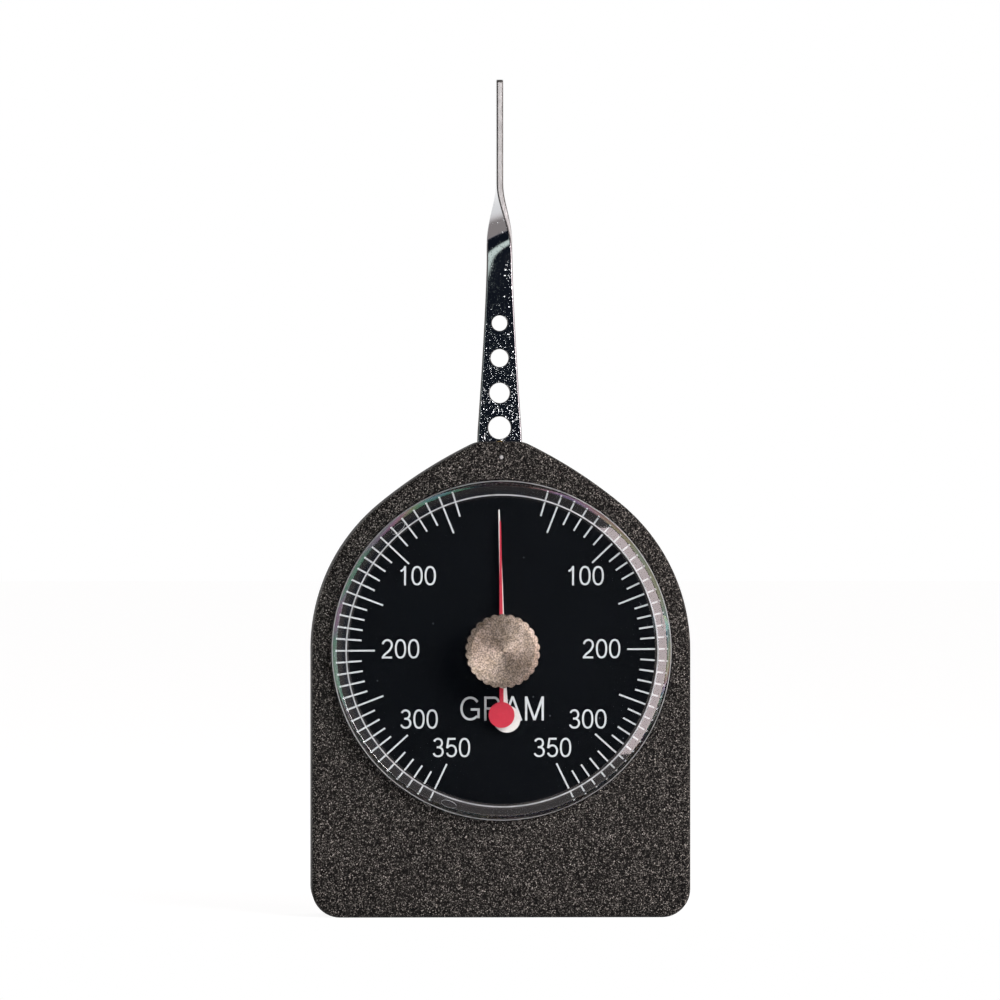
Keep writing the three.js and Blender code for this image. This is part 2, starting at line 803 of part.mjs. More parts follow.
// The hub's and the rivets' holes, shared by the sector and the lever
function leverageHoles(startY, endY) {
  const rivetHoles = rivetHeights.map((height) =>
    pin(rivetRadius + fitGap, startY, endY, { x: 0, z: -height }));
  return [pin(hubBarrelRadius + fitGap, startY, endY, onAxis, turnSteps), ...rivetHoles];
}

// Toothed sector: a hub, two spokes and a rim of teeth that hang below the axle
function sectorSolid() {
  const down = -Math.PI / 2;
  const pitch = (2 * Math.PI) / sectorTeeth;
  const middles = [];
  for (let i = 0; i < sectorToothCount; i += 1) {
    middles.push(down + (i - (sectorToothCount - 1) / 2) * pitch);
  }
  const shape = new THREE.Shape([
    around(sectorRootRadius, down - fanHalfAngle),
    ...toothPoints(sectorTeeth, middles),
    around(sectorRootRadius, down + fanHalfAngle),
  ]);
  shape.absarc(0, 0, sectorHubRadius, fanEdgeAngle, Math.PI - fanEdgeAngle, false);
  const rim = sectorRootRadius - sectorRimDepth;
  const innerHalf = fanHalfAngle - sectorSpokeWidth / sectorWindowTop;
  const outerHalf = fanHalfAngle - sectorSpokeWidth / rim;
  const window = new THREE.Path();
  window.absarc(0, 0, rim, down - outerHalf, down + outerHalf, false);
  window.absarc(0, 0, sectorWindowTop, down + innerHalf, down - innerHalf, true);
  window.closePath();
  shape.holes.push(window);
  const [startY, endY] = [sectorFrontY - overrun, sectorBackY + overrun];
  return cut(plate(shape, sectorFrontY, sectorBackY), ...leverageHoles(startY, endY));
}

// Stop pins stand where the sector's edge arrives at the end of the lever's travel
function stopPlace(side) {
  const angle = fanEdgeAngle + leverTravel * degree;
  const offset = sectorHubRadius + stopPinRadius + stopGap;
  return {
    x: side * (offset * Math.cos(angle) + stopReach * Math.sin(angle)),
    z: offset * Math.sin(angle) - stopReach * Math.cos(angle),
  };
}

function stopPinSolid(side) {
  const place = stopPlace(side);
  const spigot = pin(studSpigotRadius, webBackY - studSpigotLength, webBackY + overrun, place);
  const post = pin(stopPinRadius, webBackY + seatGap, sectorBackY + runningGap, place);
  return join(post, spigot);
}

// Width of the strip at a height above the axle
function leverWidth(height) {
  if (height < 0) {
    return leverPivotWidth + ((leverPivotWidth - leverTailWidth) * height) / leverTailLength;
  }
  if (height < leverBaseHeight) {
    return leverPivotWidth - ((leverPivotWidth - leverBaseWidth) * height) / leverBaseHeight;
  }
  if (height < twistStart) {
    const along = (height - leverBaseHeight) / (twistStart - leverBaseHeight);
    return twistWidth + (leverBaseWidth - twistWidth) * (1 - along) ** taperPower;
  }
  const along = (height - twistStart) / (leverLength - twistStart);
  return twistWidth + (tipWidth - twistWidth) * along;
}

// The twist eases in and out, the right edge coming forward
function leverTwist(height) {
  const along = Math.min(1, Math.max(0, (height - twistStart) / twistLength));
  return (-Math.PI / 2) * along * along * (3 - 2 * along);
}

function leverRing(height, width, edge = leverEdge) {
  const twist = leverTwist(height);
  const [a, b] = [width / 2, leverThickness / 2];
  const corners = [
    [a, edge - b], [a, b - edge], [a - edge, b], [edge - a, b],
    [-a, b - edge], [-a, edge - b], [edge - a, -b], [a - edge, -b],
  ];
  return corners.map(([x, y]) => new THREE.Vector3(
    x * Math.cos(twist) - y * Math.sin(twist),
    leverMidY + x * Math.sin(twist) + y * Math.cos(twist),
    height,
  ));
}

function leverSolid() {
  const heights = [-leverTailLength, 0, leverBaseHeight];
  for (let i = 1; i <= taperSteps; i += 1) {
    heights.push(leverBaseHeight + ((twistStart - leverBaseHeight) * i) / taperSteps);
  }
  for (let i = 1; i <= twistSteps; i += 1) {
    heights.push(twistStart + (twistLength * i) / twistSteps);
  }
  const rings = heights.map((height) => leverRing(height, leverWidth(height)));
  for (let i = 0; i <= roundSteps; i += 1) {
    const turn = (Math.PI / 2) * (i / roundSteps);
    const height = leverLength - tipRound * (1 - Math.sin(turn));
    rings.push(leverRing(height, leverWidth(height) - 2 * tipRound * (1 - Math.cos(turn))));
  }
  const strip = loft(rings, (point) => new THREE.Vector2(point.x, point.y));
  const [startY, endY] = [leverFrontY - overrun, leverBackY + overrun];
  const holes = leverageHoles(startY, endY);
  for (let i = 0; i < holeCount; i += 1) {
    const place = { x: 0, z: firstHoleHeight + i * holePitch };
    holes.push(pin(firstHoleRadius - i * holeShrink, startY, endY, place, turnSteps));
  }
  return cut(strip, ...holes);
}

function leverHubSolid() {
  const bore = axleRadius + fitGap;
  const profile = [
    [bore, hubFrontY],
    [hubFlangeRadius, hubFrontY],
    [hubFlangeRadius, hubFrontY + hubFlangeThickness],
    [hubBarrelRadius, hubFrontY + hubFlangeThickness],
    [hubBarrelRadius, hubBackY - hubRimThickness],
    [hubRimRadius, hubBackY - hubRimThickness],
    [hubRimRadius, hubBackY],
    [bore, hubBackY],
  ];
  return turnedRing(profile, turnSteps);
}

function rivetSolid() {
  const profile = [
    [0, leverFrontY - seatGap - rivetHeadHeight],
    [rivetHeadRadius, leverFrontY - seatGap - rivetHeadHeight],
    [rivetHeadRadius, leverFrontY - seatGap],
    [rivetRadius, leverFrontY - seatGap],
    [rivetRadius, sectorBackY + seatGap],
    [rivetHeadRadius, sectorBackY + seatGap],
    [rivetHeadRadius, sectorBackY + seatGap + rivetHeadHeight],
    [0, sectorBackY + seatGap + rivetHeadHeight],
  ];
  return turned(profile, smallSteps);
}

function axleSolid() {
  const shoulderY = frontY + axleTipLength;
  const profile = [
    [0, frontY + seatGap],
    [axleTipRadius, frontY + seatGap],
    [axleTipRadius, shoulderY],
    [axleRadius, shoulderY],
    [axleRadius, rimY - seatGap],
    [0, rimY - seatGap],
  ];
  return turned(profile, smallSteps);
}

// Arbor with its pinion: long front pivot for the pointer, short back pivot for the bridge
function arborSolid() {
  const shoulderY = webBackY + seatGap + bushFlangeThickness + seatGap;
  const backShoulderY = bridgeFrontY - seatGap - bushFlangeThickness - seatGap;
  const profile = [
    [0, liveHubFrontY],
    [arborFrontRadius, liveHubFrontY],
    [arborFrontRadius, shoulderY],
    [arborRadius, shoulderY],
    [arborRadius, backShoulderY],
    [arborBackRadius, backShoulderY],
    [arborBackRadius, bridgeBackY - seatGap],
    [0, bridgeBackY - seatGap],
  ];
  const middles = [];
  for (let i = 0; i < pinionTeeth; i += 1) {
    middles.push(Math.PI / 2 + (2 * Math.PI * i) / pinionTeeth);
  }
  const teeth = plate(
    new THREE.Shape(toothPoints(pinionTeeth, middles)),
    sectorFrontY - pinionOverhang,
    sectorBackY + pinionOverhang,
  );
  return join(turned(profile, smallSteps), teeth);
}

// A flanged bush, whose flange's inner face the arbor's shoulder runs against
function bushSolid({ barrel, flange, bore }, innerY, outerY, barrelEndY) {
  const profile = [
    [bore, innerY],
    [flange, innerY],
    [flange, outerY],
    [barrel, outerY],
    [barrel, barrelEndY],
    [bore, barrelEndY],
  ];
  if (barrelEndY < innerY) profile.reverse();
  return turnedRing(profile, smallSteps);
}

function frontBushSolid() {
  const flangeY = webBackY + seatGap;
  const sizes = {
    barrel: frontBushRadius,
    flange: frontBushFlangeRadius,
    bore: arborFrontRadius + fitGap,
  };
  return bushSolid(sizes, flangeY + bushFlangeThickness, flangeY, webFrontY);
}

function backBushSolid() {
  const flangeY = bridgeFrontY - seatGap - bushFlangeThickness;
  const sizes = {
    barrel: backBushRadius,
    flange: backBushFlangeRadius,
    bore: arborBackRadius + fitGap,
  };
  return bushSolid(sizes, flangeY, flangeY + bushFlangeThickness, bridgeBackY);
}

function colletSolid() {
  const bore = arborRadius + fitGap;
  const profile = [
    [bore, springFrontY],
    [colletRadius, springFrontY],
    [colletRadius, springBackY + runningGap],
    [bore, springBackY + runningGap],
  ];
  return turnedRing(profile, turnSteps);
}

// Flat spiral, from the collet on the arbor out to the stud on the web
function springSolid() {
  const half = springThickness / 2;
  const inner = colletRadius + fitGap + half;
  const steps = springTurns * springStepsPerTurn;
  const [outside, inside] = [[], []];
  for (let i = 0; i <= steps; i += 1) {
    const along = i / steps;
    const turn = springEndAngle * degree - 2 * Math.PI * springTurns * (1 - along);
    const radius = inner + (springOuterRadius - inner) * along;
    outside.push(around(radius + half, turn));
    inside.push(around(radius - half, turn));
  }
  return plate(new THREE.Shape([...outside, ...inside.reverse()]), springFrontY, springBackY);
}

// Stud that grips the spring's outer end in a slot
function studSolid() {
  const place = polar(springOuterRadius, springEndAngle);
  const post = pin(studRadius, webBackY + seatGap, springBackY + runningGap, place);
  const spigotEndY = webBackY + springStand / 2;
  const spigot = pin(studSpigotRadius, webBackY - studSpigotLength, spigotEndY, place);
  const slotHalf = springThickness / 2 + studSlotGap;
  const slot = block(
    [springOuterRadius - slotHalf, springFrontY - seatGap, -studRadius - overrun],
    [springOuterRadius + slotHalf, springBackY + overrun, studRadius + overrun],
  );
  return cut(join(post, spigot), turnedAbout(slot, springEndAngle));
}

// Three-armed bridge over the movement
function bridgeSolid() {
  const arms = pillarAngles.map((angle) => {
    const shape = new THREE.Shape();
    shape.absarc(0, 0, bridgeArmRadius, Math.PI / 2, (3 * Math.PI) / 2, false);
    shape.absarc(pillarReach, 0, bridgeArmRadius, -Math.PI / 2, Math.PI / 2, false);
    return turnedAbout(plate(shape, bridgeFrontY, bridgeBackY), angle);
  });
  const middle = pin(bridgeHubRadius, bridgeFrontY, bridgeBackY, onAxis, turnSteps);
  const [startY, endY] = [bridgeFrontY - overrun, bridgeBackY + overrun];
  const holes = pillarAngles.map((angle) =>
    pin(bridgeScrewRadius + fitGap, startY, endY, polar(pillarReach, angle)));
  const bushHole = pin(backBushRadius + fitGap, startY, endY);
  return cut(join(middle, ...arms), bushHole, ...holes);
}

// Pillar and bridge screw, their axes on x = 0, z = 0
function pillarSolid() {
  const bore = bridgeScrewRadius + fitGap;
  const boreY = bridgeBackY - bridgeThickness - bridgeScrewLength;
  const profile = [
    [0, webBackY - pillarSpigotLength],
    [pillarSpigotRadius, webBackY - pillarSpigotLength],
    [pillarSpigotRadius, webBackY + seatGap],
    [pillarRadius, webBackY + seatGap],
    [pillarRadius, bridgeFrontY - seatGap],
    [bore, bridgeFrontY - seatGap],
    [bore, boreY],
    [0, boreY],
  ];
  return turned(profile, smallSteps);
}

function bridgeScrewSolid() {
  const headY = bridgeBackY + seatGap;
  const endY = headY + bridgeScrewHeadHeight;
  const startY = bridgeFrontY - bridgeScrewLength + seatGap;
  const profile = [
    [0, startY],
    [bridgeScrewRadius, startY],
    [bridgeScrewRadius, headY],
    [bridgeScrewHeadRadius, headY],
    [bridgeScrewHeadRadius, endY],
    [0, endY],
  ];
  const slotHalf = (bridgeScrewHeadRadius * slotShare) / 2;
  const slot = block(
    [-bridgeScrewHeadRadius - overrun, endY - bridgeScrewHeadHeight * slotDepthShare, -slotHalf],
    [bridgeScrewHeadRadius + overrun, endY + overrun, slotHalf],
  );
  return cut(turned(profile, smallSteps), slot);
}

function finish(color, roughness, metalness) {
  return new THREE.MeshStandardMaterial({ color, roughness, metalness });
}

const blackPaint = finish('#242220', 0.75, 0.1);
const clearPlastic = finish('#dfe6e8', 0.05, 0);
const dialBlack = finish('#0b0c0e', 0.6, 0);
const pointerWhite = finish('#e9e7e2', 0.5, 0);
const pointerRed = finish('#c4182b', 0.45, 0);
const chromePlate = finish('#c9cbce', 0.12, 1);
const agedBrass = finish('#8d7358', 0.4, 1);
const brass = finish('#b5934d', 0.35, 1);
const steel = finish('#8b8d90', 0.35, 1);
const springSteel = finish('#4c5560', 0.4, 1);

function piece(group, name, solid, material, place = onAxis) {
  const mesh = new THREE.Mesh(geometryOf(solid), material);
  mesh.name = name;
  mesh.position.set(place.x, 0, place.z);
  group.add(mesh);
}

const gauge = new THREE.Group();

const housing = new THREE.Group();
piece(housing, 'case', caseSolid(), blackPaint);
piece(housing, 'back_cover', coverSolid(), blackPaint);
bossPlaces.forEach((place, i) => {
  piece(housing, `cover_screw_${i + 1}`, coverScrewSolid(), steel, place);
});

const movement = new THREE.Group();
movement.position.set(0, 0, dialHeight);
piece(movement, 'crystal', crystalSolid(), clearPlastic);
piece(movement, 'dial', dialSolid(), dialBlack);
const livePointer = pointerSolid(liveSizes, livePointerFrontY, livePointerBackY);
piece(movement, 'live_pointer', livePointer, pointerWhite);
piece(movement, 'pointer_hub', pointerHubSolid(), brass);
piece(movement, 'drive_pin', drivePinSolid(), steel);
const dragPointer = pointerSolid(dragSizes, dragPointerFrontY, dragPointerBackY);
piece(movement, 'drag_pointer', dragPointer, pointerRed);
piece(movement, 'drag_hub', dragHubSolid(), brass);
piece(movement, 'friction_washer', washerSolid(), springSteel);
const spindle = pin(spindleRadius, spindleFrontY, spindleBackY, onAxis, turnSteps);
piece(movement, 'knob_spindle', spindle, steel);
piece(movement, 'reset_knob', knobSolid(), agedBrass);
piece(movement, 'pinion_arbor', arborSolid(), steel);
piece(movement, 'spring_collet', colletSolid(), brass);
piece(movement, 'measuring_spring', springSolid(), springSteel);
piece(movement, 'spring_stud', studSolid(), brass);
piece(movement, 'front_bush', frontBushSolid(), brass);
piece(movement, 'back_bush', backBushSolid(), brass);
piece(movement, 'bridge_plate', bridgeSolid(), brass);
pillarAngles.forEach((angle, i) => {
  piece(movement, `bridge_pillar_${i + 1}`, pillarSolid(), brass, polar(pillarReach, angle));
  piece(movement, `bridge_screw_${i + 1}`, bridgeScrewSolid(), steel, polar(pillarReach, angle));
});

const leverage = new THREE.Group();
leverage.position.set(0, 0, pivotHeight);
piece(leverage, 'lever', leverSolid(), chromePlate);
piece(leverage, 'lever_hub', leverHubSolid(), brass);
piece(leverage, 'lever_axle', axleSolid(), steel);
piece(leverage, 'sector_gear', sectorSolid(), brass);
rivetHeights.forEach((height, i) => {
  piece(leverage, `sector_rivet_${i + 1}`, rivetSolid(), brass, { x: 0, z: -height });
});
piece(leverage, 'stop_pin_left', stopPinSolid(-1), steel);
piece(leverage, 'stop_pin_right', stopPinSolid(1), steel);

gauge.add(housing, movement, leverage);

export default gauge;
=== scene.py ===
import math
import bmesh
import bpy
from mathutils import Matrix, Vector


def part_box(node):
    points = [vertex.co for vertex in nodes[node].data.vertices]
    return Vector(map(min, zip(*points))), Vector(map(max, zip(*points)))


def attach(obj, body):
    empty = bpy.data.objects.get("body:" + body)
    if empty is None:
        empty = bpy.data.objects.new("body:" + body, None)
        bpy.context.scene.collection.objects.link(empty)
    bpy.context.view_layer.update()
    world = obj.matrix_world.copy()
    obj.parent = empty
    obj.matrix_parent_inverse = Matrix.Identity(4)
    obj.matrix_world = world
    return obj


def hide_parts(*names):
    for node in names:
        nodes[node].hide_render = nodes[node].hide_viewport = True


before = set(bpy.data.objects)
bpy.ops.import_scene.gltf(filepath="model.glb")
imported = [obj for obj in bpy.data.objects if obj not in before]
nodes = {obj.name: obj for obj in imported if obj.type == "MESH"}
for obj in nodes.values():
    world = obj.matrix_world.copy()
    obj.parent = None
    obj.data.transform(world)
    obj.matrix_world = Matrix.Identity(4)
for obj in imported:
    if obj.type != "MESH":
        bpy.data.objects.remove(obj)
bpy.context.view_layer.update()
scene = bpy.context.scene

# Everything is shaped in millimetres: x to the right, y to the back, z up.
# A finished piece is brought to metres, with its object left at the origin.
metre = 0.001
faceAxis = (0, -1, 0)  # turning about this axis is anticlockwise as seen from the front
nearZero = 0.0001


def boxMm(node):
    low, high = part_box(node)
    return low / metre, high / metre


caseLow, caseHigh = boxMm("case")
coverLow, coverHigh = boxMm("back_cover")
dialLow, dialHigh = boxMm("dial")
axleLow, axleHigh = boxMm("lever_axle")
dialHeight = (dialLow.z + dialHigh.z) / 2
pivotHeight = (axleLow.z + axleHigh.z) / 2


def toLinear(hexColour):
    channels = [int(hexColour[i:i + 2], 16) / 255 for i in (1, 3, 5)]
    return [c / 12.92 if c <= 0.04045 else ((c + 0.055) / 1.055) ** 2.4 for c in channels] + [1]


def perMetre(sizeMm):
    # the scale of a pattern whose grains are this many millimetres across
    return 1 / (sizeMm * metre)


def feed(tree, node, links):
    # a source is an output, or a node that stands for its first output in use
    for socket, source in links.items():
        if isinstance(source, bpy.types.Node):
            source = next(output for output in source.outputs if output.enabled)
        tree.links.new(source, node.inputs[socket])


def addNode(tree, kind, settings=None, links=None):
    node = tree.nodes.new("ShaderNode" + kind)
    for key, value in (settings or {}).items():
        if isinstance(key, int) or key in node.inputs:
            node.inputs[key].default_value = value
        else:
            setattr(node, key, value)
    feed(tree, node, links or {})
    return node


def newMaterial(name, colour, roughness, metallic=0.0):
    material = bpy.data.materials.new(name)
    material.use_nodes = True
    tree = material.node_tree
    shader = tree.nodes["Principled BSDF"]
    shader.inputs["Base Color"].default_value = toLinear(colour)
    shader.inputs["Roughness"].default_value = roughness
    shader.inputs["Metallic"].default_value = metallic
    place = addNode(tree, "TexCoord").outputs["Object"]
    return material, tree, shader, place


# Crackle powder coat: black epoxy powder that gels into hard grains as it bakes.
# It gives the eye a dull warm black with a fine sparkle: the bumped grains catch the lamp, and a
# few pale grains are painted glints, pale whichever way they face.
def makeCrackleCoat():
    sizes = {"grainMm": 0.13, "reliefGrainMm": 0.25, "patchMm": 14, "reliefMm": 0.08}
    material, tree, shader, place = newMaterial("crackle powder coat", "#1c1a19", 0.6)
    shader.inputs["Specular IOR Level"].default_value = 0.08
    patch = addNode(tree, "TexNoise", {"Scale": perMetre(sizes["patchMm"]), "Detail": 2},
                    {"Vector": place})
    hollow = addNode(tree, "Mix", {"data_type": "RGBA", 6: toLinear("#020202"),
                                   7: toLinear("#090808")}, {0: patch})
    # each grain has a tone of its own, most of them dark; the few pale ones are painted glints
    grains = addNode(tree, "TexVoronoi", {"Scale": perMetre(sizes["grainMm"])}, {"Vector": place})
    tone = addNode(tree, "Math", {"operation": "POWER", 1: 7.8}, {0: grains.outputs["Color"]})
    # the pale grain colour is a painted glint, not a colour of the coat
    paintedGlintCoat = addNode(tree, "Mix", {"data_type": "RGBA", 7: toLinear("#dfd7ce")},
                    {0: tone, 6: hollow})
    relief = addNode(tree, "TexNoise", {"Scale": perMetre(sizes["reliefGrainMm"]), "Detail": 2,
                                        "Roughness": 0.7}, {"Vector": place})
    bump = addNode(tree, "Bump", {"Strength": 0.7, "Distance": sizes["reliefMm"] * metre},
                   {"Height": relief})
    feed(tree, shader, {"Base Color": paintedGlintCoat, "Normal": bump})
    return material


# Moulded acrylic, polished by the mould: the eye looks straight through it, past sharp glints.
def makeAcrylic(name, roughness, coat=0, film=None, shades=False):
    material, tree, shader, place = newMaterial(name, "#fbfdff", roughness)
    shader.inputs["Transmission Weight"].default_value = 1
    shader.inputs["IOR"].default_value = 1.49
    shader.inputs["Coat Weight"].default_value = coat
    shader.inputs["Coat IOR"].default_value = 1.7
    shader.inputs["Coat Roughness"].default_value = roughness
    if film:
        # stresses left in the rim colour what it mirrors, and change along it
        drift = addNode(tree, "TexNoise", {"Scale": perMetre(16), "Detail": 1}, {"Vector": place})
        depth = addNode(tree, "MapRange", {"From Min": 0.3, "From Max": 0.7, "To Min": film[0],
                                           "To Max": film[1]}, {"Value": drift})
        feed(tree, shader, {"Thin Film Thickness": depth})
        shader.inputs["Thin Film IOR"].default_value = 1.75
    # lamps shine straight through it, but its side throws a shadow on what stands around it
    passing = addNode(tree, "LightPath").outputs["Is Shadow Ray"]
    if shades:
        inside = addNode(tree, "NewGeometry").outputs["Backfacing"]
        passing = addNode(tree, "Math", {"operation": "MULTIPLY"}, {0: passing, 1: inside})
    clear = addNode(tree, "BsdfTransparent")
    mixed = addNode(tree, "MixShader", {}, {0: passing, 1: shader, 2: clear})
    feed(tree, tree.nodes["Material Output"], {"Surface": mixed})
    return material


# An edge of the crystal, scuffed by handling until it scatters light from every side.
def makeScuffedEdge():
    material, tree, shader, place = newMaterial("scuffed acrylic edge", "#e3e6e9", 0.4)
    wear = addNode(tree, "TexNoise", {"Scale": perMetre(1.2), "Detail": 4}, {"Vector": place})
    clear = addNode(tree, "MapRange", {"From Min": 0.3, "From Max": 0.75, "To Min": 0.3,
                                       "To Max": 0.8}, {"Value": wear})
    feed(tree, shader, {"Transmission Weight": clear})
    return material


# Satin black lacquer on an aluminium dial: a deep black, greyed by the dust that settles under
# a crystal. The specks are drawn coarser than dust, so that they show.
def makeDialLacquer():
    sizes = {"dustMm": 1.3, "dustShare": 0.1, "hazeMm": 6}
    material, tree, shader, place = newMaterial("satin dial lacquer", "#07080a", 0.22)
    shader.inputs["Specular IOR Level"].default_value = 0.3
    haze = addNode(tree, "TexNoise", {"Scale": perMetre(sizes["hazeMm"]), "Detail": 4},
                   {"Vector": place})
    base = addNode(tree, "Mix", {"data_type": "RGBA", 6: toLinear("#020304"),
                                 7: toLinear("#05070a")}, {0: haze})
    cells = addNode(tree, "TexVoronoi", {"Scale": perMetre(sizes["dustMm"])}, {"Vector": place})
    speck = addNode(tree, "MapRange", {"From Min": sizes["dustShare"], "From Max": 0.04},
                    {"Value": cells})
    rare = addNode(tree, "Math", {"operation": "GREATER_THAN", 1: 0.72},
                   {0: cells.outputs["Color"]})
    dust = addNode(tree, "Math", {"operation": "MULTIPLY"}, {0: speck, 1: rare})
    dusted = addNode(tree, "Mix", {"data_type": "RGBA", 7: toLinear("#5e6266")}, {0: dust, 6: base})
    feed(tree, shader, {"Base Color": dusted})
    return material


# Stoved enamel or printing ink: one even colour, a little deeper where the coat is thicker.
def makeEnamel(name, colour, deeper, roughness):
    material, tree, shader, place = newMaterial(name, colour, roughness)
    mottle = addNode(tree, "TexNoise", {"Scale": perMetre(0.5), "Detail": 3}, {"Vector": place})
    coat = addNode(tree, "Mix", {"data_type": "RGBA", 6: toLinear(deeper), 7: toLinear(colour)},
                   {0: mottle})
    relief = addNode(tree, "Bump", {"Strength": 0.2, "Distance": 0.02 * metre}, {"Height": mottle})
    feed(tree, shader, {"Base Color": coat, "Normal": relief})
    return material


# Polished nickel-chrome plate: a mirror, greyed by pits and hair scratches from handling. Both
# are drawn coarser than real ones, which are too fine to show.
def makeChromePlate():
    sizes = {"speckMm": 0.24, "nickMm": 1.1, "scratchMm": 0.3, "waveMm": 6,
             "wornTop": 108, "wornFoot": 82,
             "crownMm": 0.35, "halfMm": 3, "crownFoot": 98, "crownFull": 104}
    material, tree, shader, place = newMaterial("polished chrome plate", "#cfd0d3", 0.07, 1.0)
    parts = addNode(tree, "SeparateXYZ", {}, {0: place})
    speckle = addNode(tree, "TexNoise", {"Scale": perMetre(sizes["speckMm"]), "Detail": 2},
                      {"Vector": place})
    specks = addNode(tree, "MapRange", {"From Min": 0.59, "From Max": 0.82}, {"Value": speckle})
    nicks = addNode(tree, "TexVoronoi", {"Scale": perMetre(sizes["nickMm"])}, {"Vector": place})
    nick = addNode(tree, "MapRange", {"From Min": 0.13, "From Max": 0.05}, {"Value": nicks})
    along = addNode(tree, "Mapping", {"Rotation": (0, 0.5, 0), "Scale": (1, 1, 0.2)},
                    {"Vector": place})
    hair = addNode(tree, "TexNoise", {"Scale": perMetre(sizes["scratchMm"]), "Detail": 4},
                   {"Vector": along})
    scratch = addNode(tree, "MapRange", {"From Min": 0.66, "From Max": 0.74}, {"Value": hair})
    marks = addNode(tree, "Math", {"operation": "MAXIMUM"}, {0: specks, 1: scratch})
    # the plate is more worn towards the case
    wear = addNode(tree, "MapRange", {"From Min": sizes["wornTop"] * metre, "To Min": 0.2,
                                      "From Max": sizes["wornFoot"] * metre, "To Max": 0.85},
                   {"Value": parts.outputs["Z"]})
    worn = addNode(tree, "Math", {"operation": "MULTIPLY_ADD"}, {0: marks, 1: wear, 2: nick})
    gloss = addNode(tree, "MapRange", {"To Min": 0.07, "To Max": 0.5}, {"Value": worn})
    wave = addNode(tree, "TexNoise", {"Scale": perMetre(sizes["waveMm"]), "Detail": 1},
                   {"Vector": place})
    # where the twist begins, it draws the strip's faces into a crown
    share = addNode(tree, "Math", {"operation": "MULTIPLY", 1: perMetre(sizes["halfMm"])},
                    {0: parts.outputs["X"]})
    fall = addNode(tree, "Math", {"operation": "MULTIPLY"}, {0: share, 1: share})
    drawn = addNode(tree, "MapRange", {"From Min": sizes["crownFoot"] * metre,
                                       "From Max": sizes["crownFull"] * metre},
                    {"Value": parts.outputs["Z"]})
    crown = addNode(tree, "Bump", {"Distance": sizes["crownMm"] * metre, "invert": True},
                    {"Height": fall, "Strength": drawn})
    ripple = addNode(tree, "Bump", {"Strength": 0.3, "Distance": 0.05 * metre},
                     {"Height": wave, "Normal": crown})
    dent = addNode(tree, "Bump", {"Strength": 0.6, "Distance": 0.04 * metre, "invert": True},
                   {"Height": worn, "Normal": ripple})
    feed(tree, shader, {"Roughness": gloss, "Normal": dent})
    return material


# Turned brass, aged: dull brown tarnish in patches, over a grain that is drawn coarse enough
# to show.
def makeAgedBrass():
    sizes = {"tarnishMm": 1.1, "grainMm": 0.22}
    material, tree, shader, place = newMaterial("aged turned brass", "#9a8878", 0.4, 1.0)
    patch = addNode(tree, "TexNoise", {"Scale": perMetre(sizes["tarnishMm"]), "Detail": 5,
                                       "Roughness": 0.65}, {"Vector": place})
    grain = addNode(tree, "TexNoise", {"Scale": perMetre(sizes["grainMm"]), "Detail": 3},
                    {"Vector": place})
    spread = addNode(tree, "MapRange", {"From Min": 0.3, "From Max": 0.7}, {"Value": patch})
    tone = addNode(tree, "Mix", {"data_type": "RGBA", 6: toLinear("#9f8e7c"),
                                 7: toLinear("#c8b8ad")}, {0: spread})
    sharp = addNode(tree, "MapRange", {"From Min": 0.42, "From Max": 0.6, "To Min": 0.5,
                                       "To Max": 1.2}, {"Value": grain})
    speckled = addNode(tree, "VectorMath", {"operation": "SCALE"}, {0: tone, "Scale": sharp})
    rough = addNode(tree, "MapRange", {"To Min": 0.5, "To Max": 0.7}, {"Value": patch})
    shader.inputs["Anisotropic"].default_value = 0.6
    shader.inputs["Anisotropic Rotation"].default_value = 0.25
    turning = addNode(tree, "Tangent", {"direction_type": "RADIAL", "axis": "Y"})
    relief = addNode(tree, "Bump", {"Strength": 0.35, "Distance": 0.03 * metre}, {"Height": grain})
    feed(tree, shader, {"Base Color": speckled, "Roughness": rough, "Normal": relief,
                        "Tangent": turning})
    return material


# Machined metal of the movement: cutter marks, drawn coarse enough to show, and a little stain
# in the larger patches.
def makeMachined(name, bright, dull, roughness, stretch):
    material, tree, shader, place = newMaterial(name, bright, roughness, 1.0)
    marks = addNode(tree, "Mapping", {"Scale": stretch}, {"Vector": place})
    streak = addNode(tree, "TexNoise", {"Scale": perMetre(0.4), "Detail": 4}, {"Vector": marks})
    stain = addNode(tree, "TexNoise", {"Scale": perMetre(5), "Detail": 3}, {"Vector": place})
    tone = addNode(tree, "Mix", {"data_type": "RGBA", 6: toLinear(dull), 7: toLinear(bright)},
                   {0: stain})
    rough = addNode(tree, "MapRange", {"To Min": roughness * 0.7, "To Max": roughness * 1.4},
                    {"Value": streak})
    relief = addNode(tree, "Bump", {"Strength": 0.25, "Distance": 0.01 * metre}, {"Height": streak})
    feed(tree, shader, {"Base Color": tone, "Roughness": rough, "Normal": relief})
    return material


crackleCoat = makeCrackleCoat()
acrylic = makeAcrylic("clear moulded acrylic", 0.01)
bevelAcrylic = makeAcrylic("hard-coated acrylic bevel", 0.05, coat=1)
rimAcrylic = makeAcrylic("stressed acrylic rim", 0.03, film=(180, 620), shades=True)
scuffedEdge = makeScuffedEdge()
dialLacquer = makeDialLacquer()
dialInk = makeEnamel("white dial ink", "#d2d5d5", "#c0c3c3", 0.6)
whiteEnamel = makeEnamel("white pointer enamel", "#e6e3de", "#cfcac4", 0.45)
redEnamel = makeEnamel("crimson pointer enamel", "#c8233c", "#a8142b", 0.42)
chromePlate = makeChromePlate()
shearedChrome = makeMachined("chrome over sheared steel", "#dedede", "#cfcecd", 0.85, (1, 1, 0.3))
